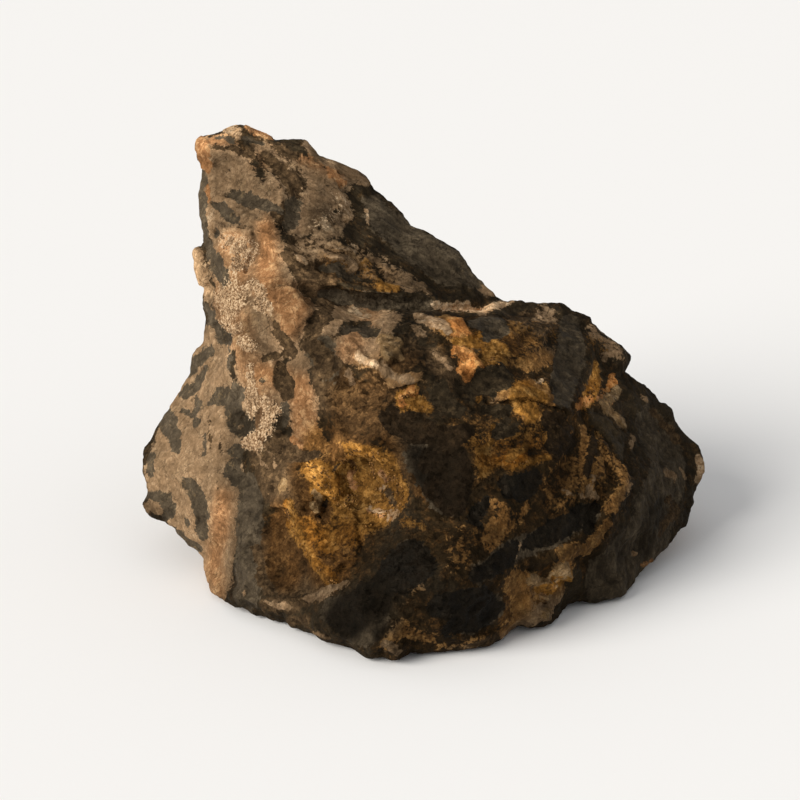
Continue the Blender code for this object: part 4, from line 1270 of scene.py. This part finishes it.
class Graph:
    """Short ways to add a new material's nodes."""

    def __init__(self, name):
        self.material = bpy.data.materials.new(name)
        self.material.use_nodes = True
        self.tree = self.material.node_tree
        self.shader = self.tree.nodes["Principled BSDF"]

    def put(self, value, socket):
        """Links or sets a socket."""
        if isinstance(value, bpy.types.NodeSocket):
            self.tree.links.new(value, socket)
        elif value is not None:
            socket.default_value = value

    def node(self, kind, *inputs, **settings):
        """A node with its first inputs filled in."""
        made = self.tree.nodes.new(kind)
        for name, value in settings.items():
            setattr(made, name, value)
        for index, value in enumerate(inputs):
            self.put(value, made.inputs[index])
        return made

    def math(self, operation, *inputs):
        return self.node("ShaderNodeMath", *inputs, operation=operation).outputs[0]

    def vector_math(self, operation, *inputs):
        return self.node("ShaderNodeVectorMath", *inputs, operation=operation).outputs[0]

    def scaled(self, vector, factor):
        """A vector or colour times a number."""
        made = self.node("ShaderNodeVectorMath", vector, operation="SCALE")
        self.put(factor, made.inputs["Scale"])
        return made.outputs[0]

    def between(self, kind, share, first, second, **settings):
        """The first value where the share is 0, the second where it is 1, and a mix in between."""
        made = self.node("ShaderNodeMix", **settings)
        for name, value in (("Factor_Float", share), (f"A_{kind}", first), (f"B_{kind}", second)):
            self.put(value, next(s for s in made.inputs if s.identifier == name))
        return next(s for s in made.outputs if s.identifier == f"Result_{kind}")

    def mix(self, share, first, second):
        return self.between("Color", share, first, second, data_type="RGBA")

    def blend(self, share, first, second):
        return self.between("Float", share, first, second)

    def step(self, value, low, high):
        """From 0 at the low value to 1 at the high one."""
        made = self.node("ShaderNodeMapRange", value, low, high, 0.0, 1.0, interpolation_type="SMOOTHSTEP")
        return made.outputs[0]

    def tones(self, name, value):
        """A colour's tone where its noise has this value."""
        made = self.node("ShaderNodeValToRGB", value)
        stops = made.color_ramp.elements
        while len(stops) < len(TONE_STOPS):
            stops.new(0.5)
        for stop, place, tone in zip(stops, TONE_STOPS, COLOURS[name]):
            stop.position = place
            stop.color = linear(*tone)
        return made.outputs[0]

    def place(self):
        """The place on the lump, in millimetres."""
        return self.scaled(self.node("ShaderNodeTexCoord").outputs["Object"], 1 / MM)

    def noise(self, place, size, detail, roughness):
        """Blender's noise over a place, its humps about size wide."""
        made = self.tree.nodes.new("ShaderNodeTexNoise")
        inputs = {"Vector": place, "Scale": 1 / size, "Detail": detail, "Roughness": roughness}
        for name, value in inputs.items():
            self.put(value, made.inputs[name])
        return made.outputs["Fac"]

    def stretched(self, place, turn, scale):
        """The place seen in a turned and stretched texture."""
        made = self.node("ShaderNodeMapping", place, (0, 0, 0), turn, scale, vector_type="TEXTURE")
        return made.outputs[0]

    def cells(self, place, size, feature="F1"):
        """Blender's cells about size wide."""
        made = self.tree.nodes.new("ShaderNodeTexVoronoi")
        made.feature = feature
        self.put(place, made.inputs["Vector"])
        self.put(1 / size, made.inputs["Scale"])
        return made.outputs

    def broken(self, place, size):
        """The height, in millimetres, of a surface broken into tilted chips about this wide."""
        chips = self.cells(place, size)
        away = self.vector_math("SUBTRACT", place, chips["Position"])
        tilt = self.vector_math("SUBTRACT", chips["Color"], (0.5, 0.5, 0.5))
        return self.node("ShaderNodeVectorMath", away, tilt, operation="DOT_PRODUCT").outputs["Value"]

    def fields(self, name, count):
        """So many of each point's numbers, which its attributes hold three by three."""
        parts = []
        for index in range(math.ceil(count / 3)):
            attribute = self.node("ShaderNodeAttribute", attribute_name=f"{name}_{index}")
            parts.extend(self.node("ShaderNodeSeparateXYZ", attribute.outputs["Vector"]).outputs)
        return parts[:count]

    def mottle(self, noise, share, blur=0.03):
        """Where the noise is high enough for this share of the surface to be covered."""
        limit = self.blend(share, 0.64, 0.3)
        covered = self.step(self.math("SUBTRACT", noise, limit), -blur, blur)
        return self.math("MULTIPLY", covered, self.step(share, 0.02, 0.12))

    def stain(self, colour, share, strength, display):
        """The colour, with another laid over it where the share says, at most so strongly."""
        return self.mix(self.math("MULTIPLY", share, strength), colour, linear(*display))

    def finish(self, colour, rough, specular):
        """Gives the shader its colour, roughness and gloss."""
        self.put(colour, self.shader.inputs["Base Color"])
        self.put(rough, self.shader.inputs["Roughness"])
        self.shader.inputs["Specular IOR Level"].default_value = specular
        return self.material


def rock_noises(g, place, drawn):
    """The noises that the minerals share, by name."""
    along_slope = g.stretched(place, (0, 0.5, 0), (7, 1, 2))
    upright = g.stretched(place, (0, 0.15, 0), (1, 1, 5))
    broad = g.noise(place, 6.0, 8.0, 0.62)
    middling = g.noise(place, 1.8, 6.0, 0.66)
    fine = g.noise(place, 0.5, 5.0, 0.7)
    cells = g.node("ShaderNodeSeparateXYZ", g.cells(place, 0.75)["Color"]).outputs[0]
    grain = g.blend(0.75, cells, fine)
    streaks = g.blend(drawn, g.noise(upright, 1.0, 8.0, 0.68), g.noise(along_slope, 1.1, 8.0, 0.68))
    return {
        "broad": broad,
        "middling": middling,
        "fine": fine,
        "grain": grain,
        "streaks": streaks,
        "mixed": g.blend(0.3, g.blend(0.5, broad, middling), grain),
        "streaked": g.blend(0.15, g.blend(0.3, streaks, middling), grain),
    }


def ground_colour(g, noises, shares):
    """The rock between the patches: dark, with tan feldspar, ochre and black tourmaline grown through it."""
    warm, rosy, gold = shares["warm"], shares["rosy"], shares["gold"]
    mixed, streaked = noises["mixed"], noises["streaked"]
    colour = g.mix(warm, g.tones("olive", streaked), g.tones("peat", mixed))
    rusting = g.mottle(noises["middling"], g.math("MULTIPLY_ADD", gold, 0.3, 0.25), blur=0.06)
    rusting = g.math("MULTIPLY", rusting, g.math("MULTIPLY_ADD", warm, 0.25, 0.3))
    colour = g.mix(rusting, colour, g.tones("brown", noises["fine"]))
    earth = g.mix(warm, g.tones("umber", mixed), g.tones("brown", mixed))
    colour = g.mix(g.mottle(mixed, shares["umber"], blur=0.08), colour, earth)
    feldspar = g.mix(rosy, g.tones("tan", g.blend(0.6, streaked, mixed)), g.tones("rose", mixed))
    feldspar = g.mix(g.math("MULTIPLY", warm, 0.85), feldspar, g.tones("rust", mixed))
    colour = g.mix(g.mottle(mixed, shares["tan"]), colour, feldspar)
    ochre = g.mix(rosy, g.tones("ochre", mixed), g.tones("sienna", mixed))
    ochre = g.mix(g.step(gold, 0.15, 0.65), g.tones("brown", mixed), ochre)
    colour = g.mix(g.mottle(g.blend(0.4, mixed, noises["fine"]), gold), colour, ochre)
    # Painted light and shade on the tourmaline: black where the painted light is low, slate where it is
    # higher
    lit = g.step(shares["light"], 0.12, 0.3)
    tourmaline = g.mix(lit, g.tones("black", streaked), g.tones("slate", streaked))
    return g.mix(g.mottle(mixed, shares["black"]), colour, tourmaline)


def patch_colours(g, noises, colour):
    """The colour with the minerals' patches over it, and how rough the surface is there."""
    rough = GROUND_ROUGHNESS
    wander = g.blend(0.25, g.blend(0.35, noises["middling"], noises["streaks"]), noises["fine"])
    wander = g.math("MULTIPLY", g.math("SUBTRACT", wander, 0.5), 4.2)
    for name, field in zip(NAMES, g.fields("fields", len(NAMES))):
        own = g.tones(name, noises["streaked"] if name in ("black", "tan") else noises["mixed"])
        inside = g.step(g.math("ADD", field, wander), 0.1, -0.1)
        colour = g.mix(inside, colour, own)
        rough = g.blend(inside, rough, MINERALS[name][1])
    return colour, rough


def cracks(g, place, noises):
    """Where thin cracks run, between angular chips of two sizes."""
    lines = None
    for size, width, noise, most in ((4.5, 0.03, "broad", 0.6), (1.8, 0.045, "middling", 0.56)):
        moved = g.vector_math("ADD", place, g.scaled(noises["middling"], size))
        edge = g.cells(moved, size, "DISTANCE_TO_EDGE")["Distance"]
        line = g.math("MULTIPLY", g.step(edge, width, 0.0), g.step(noises[noise], most - 0.1, most))
        lines = line if lines is None else g.math("MAXIMUM", lines, line)
    return lines


def finishing(g, place, noises, colour, shares):
    """Cracks, painted shade in the hollows, painted light and shade over the small raised and sunken bits,
    white crust and small pale flecks.
    """
    colour = g.stain(colour, cracks(g, place, noises), 0.65, CRACK_COLOUR)
    for name, width in (("streaks", 0.012), ("middling", 0.008)):
        level = g.math("ABSOLUTE", g.math("SUBTRACT", noises[name], 0.5))
        colour = g.stain(colour, g.step(level, width, width * 0.3), 0.35, CREASE_COLOUR)
    colour = g.stain(colour, g.mottle(noises["broad"], 0.35, blur=0.08), 0.2, SOOT_COLOUR)
    height, fine = g.fields("relief", 2)
    # Painted shade: darker where the relief lies low
    colour = g.stain(colour, g.step(height, 0.1, -1.1), 0.35, PAINTED_HOLLOW_SHADE_COLOUR)
    # Painted light and shade: lighter on the small raised bits, darker in the small pits
    colour = g.scaled(colour, g.math("MAXIMUM", g.math("MULTIPLY_ADD", fine, 0.5, 1.0), 0.6))
    lacy = g.blend(0.5, noises["fine"], noises["grain"])
    colour = g.mix(g.mottle(lacy, shares["crust"], blur=0.06), colour, g.tones("pale", noises["fine"]))
    fleck = g.step(g.math("ADD", noises["grain"], g.math("MULTIPLY", noises["broad"], 0.8)), 1.05, 1.1)
    fleck = g.math("MULTIPLY", fleck, g.math("MAXIMUM", shares["tan"], shares["gold"]))
    return g.stain(colour, fleck, 0.2, FLECK_COLOUR)


def unevenness(g, place, noises, shares):
    """A bump of small chips and grains, weaker on the feldspar."""
    chips = g.math("ADD", g.broken(place, 1.7), g.broken(place, 0.75))
    height = g.math("MULTIPLY", chips, g.math("MULTIPLY_ADD", shares["tan"], -0.55, 0.8))
    height = g.math("ADD", height, g.math("MULTIPLY", noises["middling"], 0.4))
    height = g.math("ADD", height, g.math("MULTIPLY", noises["fine"], 0.2))
    bump = g.node("ShaderNodeBump")
    bump.inputs["Strength"].default_value = 1.0
    bump.inputs["Distance"].default_value = MM
    g.put(height, bump.inputs["Height"])
    return bump.outputs[0]


def stone_material():
    """The lump's own material, which reads the minerals' fields from the mesh."""
    g = Graph("minerals")
    place = g.place()
    shares = dict(zip(GROUND_FIELDS, g.fields("ground", len(GROUND_FIELDS))))
    noises = rock_noises(g, place, shares["drawn"])
    colour, rough = patch_colours(g, noises, ground_colour(g, noises, shares))
    # Painted light and shade: the colour brightened or darkened by the light field
    colour = g.scaled(colour, g.math("MULTIPLY_ADD", shares["light"], 0.85, 0.3))
    colour = finishing(g, place, noises, colour, shares)
    g.put(unevenness(g, place, noises, shares), g.shader.inputs["Normal"])
    g.shader.inputs["Specular Tint"].default_value = (1.0, 0.86, 0.68, 1.0)
    return g.finish(colour, rough, 0.06)


def grain_material(name, first, second):
    """Small grains of two colours, each grain a little different."""
    g = Graph(name)
    place = g.place()
    fine = g.noise(place, 0.5, 4.0, 0.6)
    broad = g.noise(place, 3.0, 4.0, 0.6)
    colour = g.mix(g.step(broad, 0.42, 0.6), g.tones(first, fine), g.tones(second, fine))
    return g.finish(colour, g.math("MULTIPLY_ADD", fine, 0.2, 0.7), 0.15)


# Studio


def add_floor():
    bpy.ops.mesh.primitive_plane_add(size=FLOOR_SIDE)
    floor = bpy.context.object
    floor.name = "floor"
    material = bpy.data.materials.new("floor")
    material.use_nodes = True
    shader = material.node_tree.nodes["Principled BSDF"]
    shader.inputs["Base Color"].default_value = FLOOR_COLOUR
    shader.inputs["Roughness"].default_value = 0.9
    floor.data.materials.append(material)


def add_key_light():
    """A broad soft light from the upper left."""
    data = bpy.data.lights.new("key", "SUN")
    data.energy = KEY_STRENGTH
    data.angle = KEY_SPREAD
    data.color = KEY_COLOUR
    lamp = bpy.data.objects.new("key", data)
    lamp.rotation_euler = Vector(KEY_FROM).to_track_quat("Z", "Y").to_euler()
    bpy.context.scene.collection.objects.link(lamp)


def add_sky():
    """White light from all around."""
    world = bpy.data.worlds.new("studio")
    world.use_nodes = True
    background = world.node_tree.nodes["Background"]
    background.inputs["Color"].default_value = (1, 1, 1, 1)
    background.inputs["Strength"].default_value = SKY_STRENGTH
    bpy.context.scene.world = world


def add_camera():
    """The photograph's eye."""
    data = bpy.data.cameras.new("camera")
    data.sensor_width = SENSOR
    data.lens = SENSOR * SIGHT_DISTANCE / (PICTURE_SIDE * PIXEL)
    camera = bpy.data.objects.new("camera", data)
    camera.location = Vector(EYE) * MM
    camera.rotation_euler = Vector(TOWARDS_EYE).to_track_quat("Z", "Y").to_euler()
    bpy.context.scene.collection.objects.link(camera)
    bpy.context.scene.camera = camera


def carry(piece, material):
    """Gives the piece its material and lets it ride with the lump."""
    piece.data.materials.append(material)
    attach(piece, "root")


def build():
    rock, surface = make_rock(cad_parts[NODE])
    carry(rock, stone_material())
    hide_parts(NODE)
    carry(make_grains("crust", CRUST, *surface), grain_material("crust", "pale", "tan"))
    carry(make_grains("druse", DRUSE, *surface), grain_material("druse", "amber", "brown"))
    add_floor()
    add_sky()
    add_key_light()
    bpy.context.scene.view_settings.view_transform = "Standard"
    add_camera()


build()
